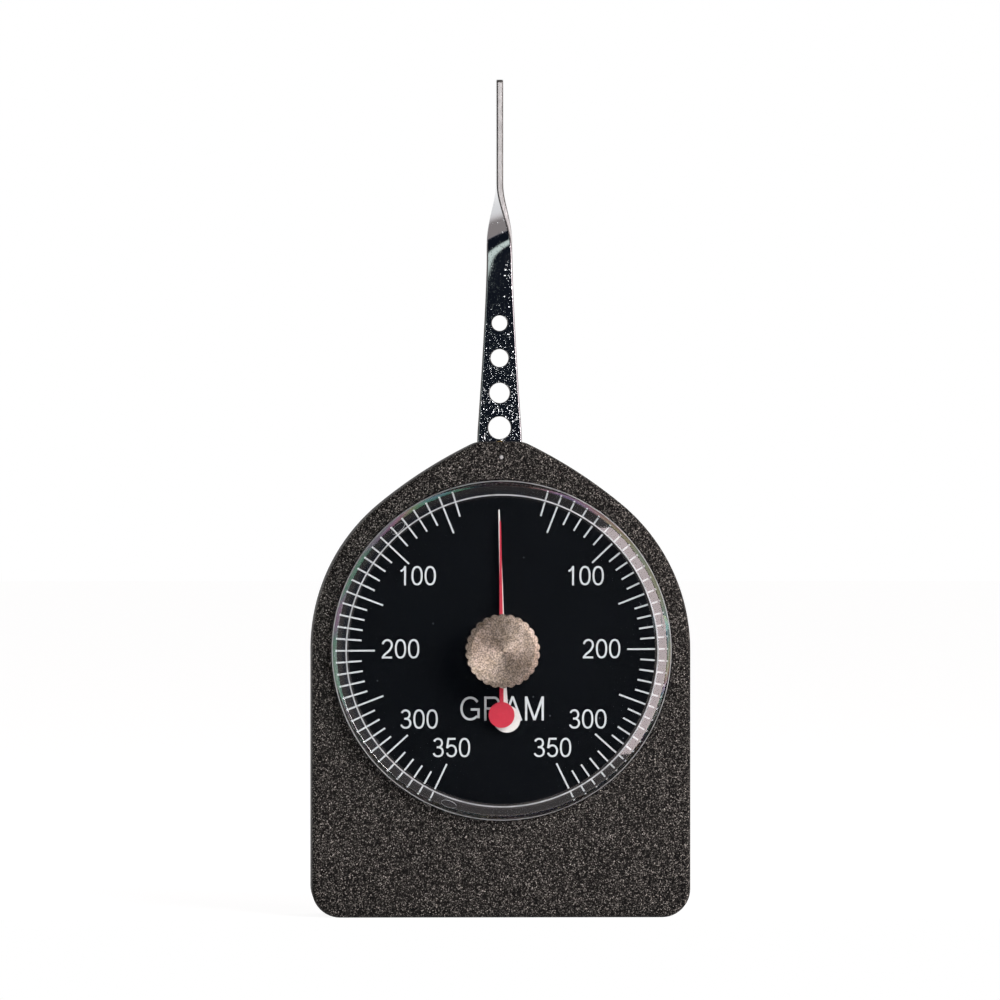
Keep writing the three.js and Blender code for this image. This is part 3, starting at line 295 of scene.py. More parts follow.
# the burr runs from grey down to near black in patches: a painted dark line that stands for the
# shading along the lever's rounded edges
burrEdgePaintedDark = makeMachined("burred edge painted dark", "#8a8785", "#161515", 0.5, (1, 1, 1))
agedBrass = makeAgedBrass()
rolledBrass = makeMachined("rolled brass", "#c3a15a", "#93783f", 0.34, (1, 1, 0.06))
groundSteel = makeMachined("ground steel", "#a2a4a8", "#7b7d81", 0.3, (1, 0.06, 1))
bluedSteel = makeMachined("blued spring steel", "#4d5a70", "#3a3f4a", 0.36, (0.06, 1, 0.06))
print("materials made")


def turnedProfile(profile, steps, x=0.0, z=0.0, closed=False):
    # a profile of (radius, y) points, turned a full circle about an axis along y
    bm = bmesh.new()
    corners = [bm.verts.new((x + radius, y, z)) for radius, y in profile]
    if closed:
        corners.append(corners[0])
    edges = [bm.edges.new(pair) for pair in zip(corners, corners[1:])]
    chain = list(bm.verts) + edges
    bmesh.ops.spin(bm, geom=chain, cent=(x, 0, z), axis=faceAxis, angle=math.tau,
                   steps=steps, use_merge=True)
    bmesh.ops.remove_doubles(bm, verts=bm.verts, dist=nearZero)
    bmesh.ops.recalc_face_normals(bm, faces=bm.faces)
    return bm


def rodAlongY(radius, startY, endY, x=0.0, z=0.0, steps=32):
    return turnedProfile([(0, startY), (radius, startY), (radius, endY), (0, endY)], steps, x, z)


def blockBetween(low, high):
    bm = bmesh.new()
    bmesh.ops.create_cube(bm, size=1)
    size = [b - a for a, b in zip(low, high)]
    middle = [(a + b) / 2 for a, b in zip(low, high)]
    bmesh.ops.scale(bm, vec=size, verts=bm.verts)
    bmesh.ops.translate(bm, vec=middle, verts=bm.verts)
    return bm


def thicken(bm, depth):
    # a flat face is given depth along y
    grown = bmesh.ops.extrude_face_region(bm, geom=list(bm.faces))
    moved = [part for part in grown["geom"] if isinstance(part, bmesh.types.BMVert)]
    bmesh.ops.translate(bm, vec=(0, depth, 0), verts=moved)
    bmesh.ops.recalc_face_normals(bm, faces=bm.faces)


def plateFromCorners(corners, startY, endY):
    bm = bmesh.new()
    bm.faces.new([bm.verts.new((x, startY, z)) for x, z in corners])
    thicken(bm, endY - startY)
    return bm


def turnAbout(bm, angle, x=0.0, z=0.0):
    # anticlockwise in degrees, as seen from the front
    turn = Matrix.Rotation(math.radians(angle), 3, faceAxis)
    bmesh.ops.rotate(bm, cent=(x, 0, z), matrix=turn, verts=bm.verts)
    return bm


def addObject(bm, name="work"):
    mesh = bpy.data.meshes.new(name)
    bm.to_mesh(mesh)
    bm.free()
    obj = bpy.data.objects.new(name, mesh)
    scene.collection.objects.link(obj)
    return obj


def combine(base, cuts=(), joined=(), within=()):
    # base and what is joined to it, less the cuts, come back as one bmesh;
    # a tool that cuts reaches a little past what it cuts
    obj = addObject(base)
    tools = []
    for operation, shapes in (("INTERSECT", within), ("UNION", joined), ("DIFFERENCE", cuts)):
        for shape in shapes:
            tools.append(addObject(shape))
            modifier = obj.modifiers.new(operation, "BOOLEAN")
            modifier.operation = operation
            modifier.solver = "EXACT"
            modifier.object = tools[-1]
    bpy.context.view_layer.update()
    depsgraph = bpy.context.evaluated_depsgraph_get()
    result = bmesh.new()
    result.from_object(obj, depsgraph)
    for used in [obj] + tools:
        oldMesh = used.data
        bpy.data.objects.remove(used)
        bpy.data.meshes.remove(oldMesh)
    bmesh.ops.remove_doubles(result, verts=result.verts, dist=nearZero)
    return result


def finishPiece(bm, name, material, body, replaced, sharpAngle=30, smooth=True,
                otherSkins=()):
    bmesh.ops.recalc_face_normals(bm, faces=bm.faces)
    bmesh.ops.scale(bm, vec=(metre, metre, metre), verts=bm.verts)
    piece = addObject(bm, name)
    if smooth:
        piece.data.shade_smooth()
        piece.data.set_sharp_from_angle(angle=math.radians(sharpAngle))
    for skin in (material, *otherSkins):
        piece.data.materials.append(skin)
    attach(piece, body)
    if replaced:
        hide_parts(*replaced)
    return piece


def flatten(piece):
    # large faces take over the shading of the narrow ones beside them
    flat = piece.modifiers.new("flat faces", "WEIGHTED_NORMAL")
    flat.keep_sharp = True


def softened(profile, breaks, steps=5):
    # the profile with some of its corners rounded: each break is (corner number, length)
    points = list(profile)
    for number, length in sorted(breaks, reverse=True):
        corner = Vector(profile[number])
        before = Vector(profile[number - 1]) - corner
        after = Vector(profile[number + 1]) - corner
        start = corner + before.normalized() * length
        end = corner + after.normalized() * length
        arc = []
        for i in range(steps + 1):
            t = i / steps
            arc.append(tuple(start * (1 - t) ** 2 + corner * 2 * t * (1 - t) + end * t ** 2))
        points[number:number + 1] = arc
    return points


caseSizes = {
    "halfWidth": 30, "cornerRadius": 4.5, "flankRadius": 75, "apexHalfWidth": 3.5,
    "apexRadius": 4, "edge": 1, "edgeSegments": 5, "wall": 2,
    "seatRadius": 27, "seatDepth": 1.5, "wellRadius": 25.9, "wellDepth": 2.7,
    "mouthBreak": 0.22, "webThickness": 1.5, "neckFloor": 66,
    "slotHalf": 4.94, "slotFoot": 8.05, "slotFront": -1.55, "slotBack": 2.65,
    "bossRadius": 3, "screwHole": 1.35, "screwDepth": 6, "bushHole": 1.8,
    "axleTip": 0.45, "axleMouth": 0.15, "axleStep": 2.9, "axleBore": 1.1,
    "footReach": 18, "footHole": 0.7,
    "lugAngles": (9.5, 130.4, 250.8), "lugRadius": 26.4, "lugWidth": 3, "lugThickness": 1,
    "lugRoom": 0.3, "lugPocket": 2.6,
}
bossPlaces = [(25.2, 4.8), (-25.2, 4.8), (17.82, 60.17), (-17.82, 60.17)]


def spinCorner(bm, corner, x, z, startAngle, endAngle, steps):
    made = bmesh.ops.spin(bm, geom=[corner], cent=(x, corner.co.y, z), axis=faceAxis,
                          angle=endAngle - startAngle, steps=steps)
    return next(part for part in made["geom_last"] if isinstance(part, bmesh.types.BMVert))


def caseOutline(y, inset=0.0):
    # one face in the case's outline: base corner, round middle, long flank and narrow top
    s = caseSizes
    apexHeight = caseHigh.z
    reach = s["flankRadius"] - s["halfWidth"]
    span = math.hypot(s["apexHalfWidth"], apexHeight - dialHeight)
    rise = (s["flankRadius"] ** 2 - reach ** 2 - span ** 2) / (2 * reach)
    lean = math.atan2(s["apexHalfWidth"], apexHeight - dialHeight)
    shoulder = math.pi / 2 - lean - math.acos(rise / span)
    flankX = -reach * math.cos(shoulder)
    flankZ = dialHeight - reach * math.sin(shoulder)
    apexZ = apexHeight - s["apexRadius"]
    apexX = flankX + math.sqrt((s["flankRadius"] - s["apexRadius"]) ** 2 - (apexZ - flankZ) ** 2)
    apexAngle = math.atan2(apexZ - flankZ, apexX - flankX)
    cornerX = s["halfWidth"] - s["cornerRadius"]
    bm = bmesh.new()
    corner = bm.verts.new((cornerX, y, inset))
    corner = spinCorner(bm, corner, cornerX, s["cornerRadius"], -math.pi / 2, 0, 12)
    raised = bmesh.ops.extrude_vert_indiv(bm, verts=[corner])["verts"]
    bmesh.ops.translate(bm, vec=(0, 0, dialHeight - s["cornerRadius"]), verts=raised)
    corner = spinCorner(bm, raised[0], 0, dialHeight, 0, shoulder, 20)
    corner = spinCorner(bm, corner, flankX, flankZ, shoulder, apexAngle, 14)
    spinCorner(bm, corner, apexX, apexZ, apexAngle, math.pi / 2, 12)
    bmesh.ops.remove_doubles(bm, verts=bm.verts, dist=nearZero)
    bmesh.ops.mirror(bm, geom=list(bm.verts) + list(bm.edges), matrix=Matrix.Identity(4),
                     merge_dist=nearZero, axis="X")
    ends = sorted((v for v in bm.verts if len(v.link_edges) == 1), key=lambda v: v.co.z)
    bm.edges.new(ends[:2])
    bm.edges.new(ends[2:])
    bmesh.ops.contextual_create(bm, geom=list(bm.edges))
    return bm


def caseSlab(startY, endY, roundY=None, inset=0.0):
    # the outline between two depths, with the edge at roundY rounded
    bm = caseOutline(startY, inset)
    thicken(bm, endY - startY)
    if roundY is not None:
        rim = [e for e in bm.edges if all(abs(v.co.y - roundY) < nearZero for v in e.verts)]
        bmesh.ops.bevel(bm, geom=rim, offset=caseSizes["edge"], offset_type="OFFSET",
                        segments=caseSizes["edgeSegments"], profile=0.5, affect="EDGES",
                        material=-1)
    return bm


def lugBlock(angle, startY, endY, room=0.0):
    s = caseSizes
    half = s["lugThickness"] / 2 + room
    bm = blockBetween((s["lugRadius"] - half, startY, -s["lugWidth"] / 2 - room),
                      (s["lugRadius"] + half, endY, s["lugWidth"] / 2 + room))
    turnAbout(bm, angle)
    bmesh.ops.translate(bm, vec=(0, 0, dialHeight), verts=bm.verts)
    return bm


def bossRods(clearance, startY, endY):
    # these take the screw bosses out of a shape
    radius = caseSizes["bossRadius"] + clearance
    return [rodAlongY(radius, startY, endY, x, z) for x, z in bossPlaces]


def makeCase():
    s = caseSizes
    front, rim = caseLow.y, caseHigh.y
    webFront = front + s["wellDepth"]
    webBack = webFront + s["webThickness"]
    neck = ((-s["halfWidth"], front - 1, s["neckFloor"]),
            (s["halfWidth"], rim + 2, caseHigh.z + 1))
    cavity = combine(caseSlab(webBack, rim + 1, None, s["wall"]),
                     [blockBetween(*neck)] + bossRods(0, front - 1, rim + 2))
    wellWall = rodAlongY(s["seatRadius"] + s["wall"], front, rim, 0, dialHeight, 96)
    pocket = combine(caseSlab(front + s["wall"], webBack + 1, None, s["wall"]),
                     [blockBetween(*neck), wellWall] + bossRods(0, front - 1, rim + 2))
    seat = turnedProfile([
        (0, front - 1),
        (s["seatRadius"] + s["mouthBreak"], front - 1),
        (s["seatRadius"] + s["mouthBreak"], front),
        (s["seatRadius"], front + s["mouthBreak"]),
        (s["seatRadius"], front + s["seatDepth"]),
        (s["wellRadius"], front + s["seatDepth"]),
        (s["wellRadius"], webFront),
        (0, webFront),
    ], 160, 0, dialHeight)
    slot = plateFromCorners([
        (-s["slotFoot"], s["neckFloor"] - 1), (s["slotFoot"], s["neckFloor"] - 1),
        (s["slotHalf"], pivotHeight), (s["slotHalf"], caseHigh.z + 1),
        (-s["slotHalf"], caseHigh.z + 1), (-s["slotHalf"], pivotHeight),
    ], s["slotFront"], s["slotBack"])
    bushHole = rodAlongY(s["bushHole"], webFront - 0.5, webBack + 1, 0, dialHeight)
    axleHole = turnedProfile([
        (0, front - 1),
        (s["axleTip"] + s["axleMouth"], front - 1),
        (s["axleTip"] + s["axleMouth"], front),
        (s["axleTip"], front + s["axleMouth"]),
        (s["axleTip"], front + s["axleStep"]),
        (s["axleBore"], front + s["axleStep"]),
        (s["axleBore"], rim + 1),
        (0, rim + 1),
    ], 32, 0, pivotHeight)
    cuts = [cavity, pocket, seat, slot, bushHole, axleHole]
    for x, z in bossPlaces:
        cuts.append(rodAlongY(s["screwHole"], rim - s["screwDepth"], rim + 1, x, z, 24))
    lugFront = front + s["seatDepth"] - s["lugRoom"]
    for angle in s["lugAngles"]:
        cuts.append(lugBlock(angle, lugFront, front + s["lugPocket"], s["lugRoom"]))
    for side in (-s["footReach"], s["footReach"]):
        cuts.append(rodAlongY(s["footHole"], webFront - 0.5, webBack + 1, side, dialHeight, 20))
    shell = combine(caseSlab(front, rim, front), cuts)
    flatten(finishPiece(shell, "caseShell", crackleCoat, "housing", ["case"]))


coverSizes = {"seam": 0.1, "lipRoom": 0.1, "lipThickness": 1.2, "lipGap": 0.3, "screwHole": 1.35,
              "sinkRadius": 2.45, "sinkDepth": 1.45, "sinkRim": 0.3, "sinkBreak": 0.12}


def makeCover():
    s = coverSizes
    lipY, back = coverLow.y, coverHigh.y
    seatY = caseHigh.y + s["seam"]
    lip = caseSizes["wall"] + s["lipRoom"]
    across = caseSizes["halfWidth"]
    # the lip inside the case stops short of the lever's neck and of the screw bosses
    neck = blockBetween((-across, lipY - 1, caseSizes["neckFloor"] - s["lipGap"]),
                        (across, back, caseHigh.z + 1))
    middle = caseSlab(lipY - 1, seatY + 0.3, None, lip + s["lipThickness"])
    ring = combine(caseSlab(lipY, seatY + 0.1, None, lip),
                   [middle, neck] + bossRods(s["lipGap"], lipY - 1, seatY + 0.3))
    sinks = []
    for x, z in bossPlaces:
        sinks.append(turnedProfile([
            (0, seatY - 0.5),
            (s["screwHole"], seatY - 0.5),
            (s["screwHole"], back - s["sinkDepth"]),
            (s["sinkRadius"], back - s["sinkRim"]),
            (s["sinkRadius"], back - s["sinkBreak"]),
            (s["sinkRadius"] + s["sinkBreak"], back),
            (s["sinkRadius"] + s["sinkBreak"], back + 1),
            (0, back + 1),
        ], 40, x, z))
    plate = combine(caseSlab(seatY, back, back), sinks, joined=[ring])
    flatten(finishPiece(plate, "rearCover", crackleCoat, "housing", ["back_cover"]))


# head corners are (in from the head's radius, under its top)
screwSizes = {"shank": 1.25, "tipBreak": 0.3, "reach": 5.9, "recess": 0.15,
              "head": 2.35, "headHeight": 1.2,
              "headCorners": [(0.06, 0.14), (0.05, 0.05), (0.14, 0)],
              "slotWidth": 0.52, "slotDepth": 0.65, "slotReach": 3}


def makeCoverScrew(number, x, z, slotAngle):
    s = screwSizes
    top = coverHigh.y - s["recess"]
    tip = caseHigh.y - s["reach"]
    body = turnedProfile([
        (0, tip), (s["shank"] - s["tipBreak"], tip), (s["shank"], tip + s["tipBreak"]),
        (s["shank"], top - s["headHeight"]),
        *[(s["head"] - inward, top - under) for inward, under in s["headCorners"]],
        (0, top),
    ], 48, x, z)
    slot = blockBetween((x - s["slotReach"], top - s["slotDepth"], z - s["slotWidth"] / 2),
                        (x + s["slotReach"], top + 1, z + s["slotWidth"] / 2))
    screw = combine(body, [turnAbout(slot, slotAngle, x, z)])
    node = f"cover_screw_{number}"
    finishPiece(screw, f"coverScrew{number}", groundSteel, "housing", [node])


makeCase()
makeCover()
for number, ((x, z), slotAngle) in enumerate(zip(bossPlaces, (20, -35, 65, -10)), 1):
    makeCoverScrew(number, x, z, slotAngle)
print("case, cover and screws made")


crystalSizes = {
    "radius": 26.9, "wall": 1, "bore": 1.1, "front": -13, "inner": -11.4, "foot": -7.6,
    "bevelWidth": 2.25, "bevelDepth": 2.2, "midShare": 0.35, "innerRim": 0.2, "innerFace": 1.5,
    "faceBreak": 0.12, "midBreak": 0.1, "rimBreak": 0.33, "steps": 192,
    "lugEnd": -6.6, "lugRoot": 0.2,
    "pipLength": 2.5, "pipWidth": 1.2, "pipRise": 0.12, "pipRoot": 0.4,
    "pipRadii": (26.1, 25.35, 25.6), "flankFrom": 0.6, "flankTo": 1.05, "wallSkin": 0.05,
}


def makeCrystal():
    s = crystalSizes
    bevelRadius = s["radius"] - s["bevelWidth"]
    midRadius = s["radius"] - s["bevelWidth"] * s["midShare"]
    bevelEnd = s["front"] + s["bevelDepth"]
    faceSlope = s["bevelDepth"] * s["midShare"] / (s["bevelWidth"] * (1 - s["midShare"]))
    rimSlope = s["bevelDepth"] * (1 - s["midShare"]) / (s["bevelWidth"] * s["midShare"])
    inside = s["radius"] - s["wall"]
    insideMid = (inside - s["innerRim"], s["inner"] + s["innerFace"] * faceSlope)
    profile = softened([
        (s["bore"], s["front"]),
        (bevelRadius, s["front"]),
        (midRadius, s["front"] + s["bevelDepth"] * s["midShare"]),
        (s["radius"], bevelEnd),
        (s["radius"], s["foot"]),
        (inside, s["foot"]),
        (inside, insideMid[1] + s["innerRim"] * rimSlope),
        insideMid,
        (insideMid[0] - s["innerFace"], s["inner"]),
        (s["bore"], s["inner"]),
    ], [(1, s["faceBreak"]), (2, s["midBreak"]), (3, s["rimBreak"])])
    cap = turnedProfile(profile, s["steps"], 0, dialHeight, closed=True)
    added = [lugBlock(angle, s["foot"] - s["lugRoot"], s["lugEnd"])
             for angle in caseSizes["lugAngles"]]
    # an oval pip on the bevel over each lug, left by the mould
    lean = Matrix.Rotation(math.atan(faceSlope), 3, "Z")
    pipFrames = []
    for angle, radius in zip(caseSizes["lugAngles"], s["pipRadii"]):
        depth = s["front"] + (radius - bevelRadius) * faceSlope
        turn = Matrix.Rotation(math.radians(angle), 3, faceAxis)
        place = turn @ Vector((radius, depth, 0)) + Vector((0, 0, dialHeight))
        pipFrames.append((turn @ lean, place))
        pip = rodAlongY(1, -s["pipRise"], s["pipRoot"], 0, 0, 40)
        bmesh.ops.scale(pip, vec=(s["pipWidth"] / 2, 1, s["pipLength"] / 2), verts=pip.verts)
        bmesh.ops.rotate(pip, cent=(0, 0, 0), matrix=turn @ lean, verts=pip.verts)
        bmesh.ops.translate(pip, vec=place, verts=pip.verts)
        added.append(pip)
    cap = combine(cap, joined=added)
    # broken edges and the pips' flanks are scuffed, and the bevel has a skin of its own
    scuffed = [(bevelRadius, s["front"], s["faceBreak"]), (s["radius"], bevelEnd, s["rimBreak"])]
    scuffedSlot, rimSlot, bevelSlot = 1, 2, 3
    for face in cap.faces:
        middle = face.calc_center_median()
        reach = math.hypot(middle.x, middle.z - dialHeight)
        onPip = False
        for turn, place in pipFrames:
            p = turn.transposed() @ (middle - place)
            out = math.hypot(p.x / s["pipWidth"] * 2, p.z / s["pipLength"] * 2)
            rising = abs(p.y + s["pipRise"] / 2) < s["pipRise"] * 0.49
            onPip = onPip or (s["flankFrom"] < out < s["flankTo"] and rising)
        if onPip or any(math.hypot(reach - r, middle.y - y) < size for r, y, size in scuffed):
            face.material_index = scuffedSlot
        elif reach > s["radius"] - s["wallSkin"]:
            face.material_index = rimSlot
        elif reach > bevelRadius and middle.y < bevelEnd:
            face.material_index = bevelSlot if reach < midRadius else rimSlot
    finishPiece(cap, "crystalCap", acrylic, "housing", ["crystal"], 18,
                otherSkins=[scuffedEdge, rimAcrylic, bevelAcrylic])


makeCrystal()
print("crystal made")


printSizes = {
    "face": dialLow.y, "thickness": 0.02, "tick": 0.27, "stroke": 0.3, "rise": 0.17, "lean": 0.3,
    "minorInner": 22.1, "majorInner": 19.95, "outer": 25.65,
    "numeralHeight": 3.06, "unitHeight": 3.8, "unitStroke": 0.36,
}
# degrees from the top at each printed load, in grams
scaleMarks = [(40, 16.8), (50, 21.75), (100, 46.55), (150, 68.9), (200, 89.9),
              (250, 110.9), (300, 132.0), (350, 154.2)]


def scaleAngle(grams):
    for (low, lowAngle), (high, highAngle) in zip(scaleMarks, scaleMarks[1:]):
        if grams <= high:
            return lowAngle + (highAngle - lowAngle) * (grams - low) / (high - low)
    return scaleMarks[-1][1]


def makeTicks():
    s = printSizes
    bm = bmesh.new()
    top, under = s["face"] - s["thickness"], s["face"] + s["thickness"] / 2
    for grams in range(40, 351, 10):
        inner = s["majorInner"] if grams % 50 == 0 else s["minorInner"]
        for side in (-1, 1):
            made = bmesh.ops.create_cube(bm, size=1)["verts"]
            bmesh.ops.scale(bm, vec=(s["tick"], under - top, s["outer"] - inner), verts=made)
            middle = (0, (top + under) / 2, (s["outer"] + inner) / 2)
            bmesh.ops.translate(bm, vec=middle, verts=made)
            angle = side * scaleAngle(grams) - s["lean"]
            turn = Matrix.Rotation(math.radians(angle), 3, (0, 1, 0))
            bmesh.ops.rotate(bm, cent=(0, 0, 0), matrix=turn, verts=made)
            bmesh.ops.translate(bm, vec=(0, 0, dialHeight), verts=made)
    return bm


def bow(x, z, halfWidth, halfHeight, start, end, squareness=2.0, steps=22):
    # part of an oval, from one angle to another in degrees
    points = []
    for i in range(steps + 1):
        angle = math.radians(start + (end - start) * i / steps)
        c, w = math.cos(angle), math.sin(angle)
        power = 2 / squareness
        points.append((x + halfWidth * math.copysign(abs(c) ** power, c),
                       z + halfHeight * math.copysign(abs(w) ** power, w)))
    return points


# Each character's strokes in shares of its height, about its middle line
characterStrokes = {
    "0": [bow(0, 0.5, 0.242, 0.45, 0, 360, 2.3, 40)],
    "1": [[(0.06, 0), (0.06, 1)], [(0.045, 0.93), (-0.02, 0.83), (-0.09, 0.77), (-0.165, 0.73)]],
    "2": [bow(0, 0.7, 0.232, 0.25, 172, -28, 2.1)
          + [(0.13, 0.44), (0.02, 0.335), (-0.1, 0.235), (-0.19, 0.14), (-0.235, 0.05)],
          [(-0.285, 0.05), (0.245, 0.05)]],
    "3": [bow(-0.01, 0.735, 0.205, 0.215, 160, -90, 2.1) + [(-0.075, 0.52)],
          bow(-0.005, 0.285, 0.242, 0.235, 90, -162, 2.1)],
    "5": [[(0.215, 0.95), (-0.185, 0.95)], [(-0.152, 0.97), (-0.222, 0.47)],
          [(-0.222, 0.49)] + bow(0, 0.33, 0.24, 0.28, 128, -160, 2.1)],
    "G": [bow(0, 0.5, 0.365, 0.45, 36, 312, 2.1) + [(0.345, 0.16)],
          [(0.345, 0.1), (0.345, 0.5)], [(0.39, 0.46), (0.02, 0.46)]],
    "R": [[(-0.285, 0), (-0.285, 1)], [(-0.33, 0.95), (0.05, 0.95)]
          + bow(0.07, 0.725, 0.2, 0.225, 90, -90, 2.1) + [(-0.28, 0.5)],
          [(0.0, 0.5), (0.13, 0.4), (0.22, 0.24), (0.345, 0)]],
    "A": [[(-0.36, 0), (0.0, 1)], [(0.36, 0), (0.0, 1)], [(-0.25, 0.34), (0.25, 0.34)]],
    "M": [[(-0.345, 0), (-0.345, 1)], [(0.345, 0), (0.345, 1)],
          [(-0.345, 0.99), (0, 0.02)], [(0.345, 0.99), (0, 0.02)]],
}
characterAdvance = {"G": 0.95, "R": 0.88, "A": 0.815, "M": 1.0}
digitAdvance = 0.68


def addWords(curve, words, x, z, height):
    # strokes of a line of print, centred on x, its middle at height z on the dial
    advances = [characterAdvance.get(letter, digitAdvance) for letter in words]
    start = -sum(advances) / 2
    for letter, advance in zip(words, advances):
        middle = start + advance / 2
        start += advance
        for stroke in characterStrokes[letter]:
            spline = curve.splines.new("POLY")
            spline.points.add(len(stroke) - 1)
            for point, (across, up) in zip(spline.points, stroke):
                point.co = (x + (middle + across) * height, 0, z + (up - 0.5) * height, 1)


def makeWords(stroke, lines):
    curve = bpy.data.curves.new("words", "CURVE")
    curve.dimensions = "3D"
    curve.bevel_depth = stroke / 2
    curve.bevel_resolution = 2
    curve.use_fill_caps = True
    for words, x, z, height in lines:
        addWords(curve, words, x, z, height)
    holder = bpy.data.objects.new("words", curve)
    scene.collection.objects.link(holder)
    bpy.context.view_layer.update()
    bm = bmesh.new()
    bm.from_mesh(holder.to_mesh())
    bpy.data.objects.remove(holder)
    bpy.data.curves.remove(curve)
    s = printSizes
    bmesh.ops.scale(bm, vec=(1, s["thickness"] * 2 / stroke, 1), verts=bm.verts)
    bmesh.ops.translate(bm, vec=(0, s["face"], dialHeight + s["rise"]), verts=bm.verts)
    return bm


# each number, its place left and right of the axis, and its height on the dial
numerals = [("100", -13.28, 13.28, 11.6), ("200", -15.9, 15.9, 0.05),
            ("300", -12.98, 13.7, -11.06), ("350", -7.86, 8.12, -15.57)]
numeralLines = [(words, x, z, printSizes["numeralHeight"])
                for words, *sides, z in numerals for x in sides]
unitLine = [("GRAM", 0.25, -9.4, printSizes["unitHeight"])]


def finishPrint(bm, name, smooth=True):
    finishPiece(bm, name, dialInk, "housing", [], smooth=smooth)


finishPrint(makeTicks(), "dialTicks", smooth=False)
finishPrint(makeWords(printSizes["stroke"], numeralLines), "dialNumerals")
finishPrint(makeWords(printSizes["unitStroke"], unitLine), "dialUnit")
print("dial print made")


livePointer = {"needle": 22.3, "width": 0.72, "tail": 10.9, "disc": 2.15, "eye": 2.5, "bore": 1.5,
               "offset": 0.28, "needleLean": 1.65, "tailLean": 4.6, "tip": 0.22,
               "front": -8.2, "back": -7.9}
dragPointer = {"needle": 20.6, "width": 0.62, "tail": 10.2, "disc": 2.05, "eye": 2.4, "bore": 1.5,
               "offset": 0, "needleLean": 0.6, "tailLean": 0, "tip": 0.22,
               "front": -9.4, "back": -9.1}


def makePointer(name, s, material, body, node):
    wide, thin, tail = s["width"] / 2, s["tip"] / 2, -s["tail"]
    needle = plateFromCorners([(-wide, 0), (wide, 0), (thin, s["needle"] - s["tip"]),
                               (0, s["needle"]), (-thin, s["needle"] - s["tip"])],
                              s["front"], s["back"])
    turnAbout(needle, s["needleLean"])
    bmesh.ops.translate(needle, vec=(s["offset"], 0, 0), verts=needle.verts)
    stem = plateFromCorners([(-wide, tail), (wide, tail), (wide, 0), (-wide, 0)],
                            s["front"], s["back"])
    turnAbout(stem, s["tailLean"])
    disc = turnAbout(rodAlongY(s["disc"], s["front"], s["back"], 0, tail, 48), s["tailLean"])
    eye = rodAlongY(s["eye"], s["front"], s["back"], 0, 0, 48)
    bore = rodAlongY(s["bore"], s["front"] - 1, s["back"] + 1, 0, 0, 48)
    bm = combine(eye, [bore], joined=[needle, stem, disc])
    bmesh.ops.translate(bm, vec=(0, 0, dialHeight), verts=bm.verts)
    finishPiece(bm, name, material, body, [node])


makePointer("livePointer", livePointer, whiteEnamel, "live_movement",
            "live_pointer")
makePointer("dragPointer", dragPointer, redEnamel, "drag_movement",
            "drag_pointer")
print("pointers made")


knobSizes = {
    "radius": 5.85, "faceRadius": 5, "back": -13.3, "height": 4.2, "chamfer": 0.55, "dish": 0.3,
    "collarRadius": 3.4, "collarHeight": 0.6, "scallops": 26, "scallopDepth": 0.32,
    "scallopPower": 0.8, "stepsPerScallop": 12, "turnSteps": 156, "bore": 1.1, "grip": 3,
    "ringPitch": 0.42, "ringDepth": 0.012,
}


def makeKnob():
    s = knobSizes
    front = s["back"] - s["height"]
    collar = s["back"] - s["collarHeight"]
    blank = bmesh.new()
    bmesh.ops.create_circle(blank, cap_ends=True, segments=s["scallops"] * s["stepsPerScallop"],
                            radius=s["radius"])
    upright = Matrix.Rotation(math.pi / 2, 3, "X")
    bmesh.ops.rotate(blank, cent=(0, 0, 0), matrix=upright, verts=blank.verts)
    for corner in blank.verts:
        angle = math.atan2(corner.co.z, corner.co.x)
        lobe = abs(math.sin(angle * s["scallops"] / 2))
        share = 1 - s["scallopDepth"] * (1 - lobe ** s["scallopPower"]) / s["radius"]
        corner.co.x *= share
        corner.co.z *= share
    bmesh.ops.translate(blank, vec=(0, front - 1, 0), verts=blank.verts)
    thicken(blank, s["height"] + 2)
    # the face's turned rings, from the middle of the dish out to its rim, drawn wide enough
    # to show: a crest at each half ring, and a groove at each whole one
    rings = int(s["faceRadius"] / s["ringPitch"])
    profile = [(0, front + s["dish"])]
    for halfRings in range(1, rings * 2):
        radius = s["faceRadius"] * halfRings / rings / 2
        dish = s["dish"] * (1 - (radius / s["faceRadius"]) ** 2)
        wave = s["ringDepth"] if halfRings % 2 == 0 else -s["ringDepth"]
        profile.append((radius, front + dish + wave))
    profile.append((s["faceRadius"], front))
    slope = s["chamfer"] / (s["radius"] - s["faceRadius"])
    outer = s["radius"] + 1
    profile += [(outer, front + slope * (outer - s["faceRadius"])), (outer, collar),
                (s["collarRadius"], collar), (s["collarRadius"], s["back"]), (0, s["back"])]
    form = turnedProfile(profile, s["turnSteps"])
    bore = rodAlongY(s["bore"], s["back"] - s["grip"], s["back"] + 1)
    knob = combine(blank, [bore], within=[form])
    bmesh.ops.translate(knob, vec=(0, 0, dialHeight), verts=knob.verts)
    finishPiece(knob, "resetKnob", agedBrass, "drag_movement", ["reset_knob"], 25)


makeKnob()
print("knob made")


leverSizes = {
    "thickness": 1.1, "tail": 10.5, "tailWidth": 6, "pivotWidth": 7.3, "baseHeight": 4.1,
    "baseWidth": 7, "twistStart": 30.8, "twistLength": 12.8, "twistWidth": 4.1,
    "length": 60.1, "tipWidth": 3.4, "tipRound": 0.7, "taperPower": 1.3, "edgeBreak": 0.25,
    "holeHeight": 4.7, "holePitch": 5.55, "holeRadius": 1.8, "holeShrink": 0.19, "holes": 4,
    "holeBreak": 0.12, "cutsAlong": 140, "tipCuts": [0.9955, 0.9975, 0.999],
    "hubBore": 1.9, "rivetBore": 0.9, "rivets": (-5.4, -8.6),
}


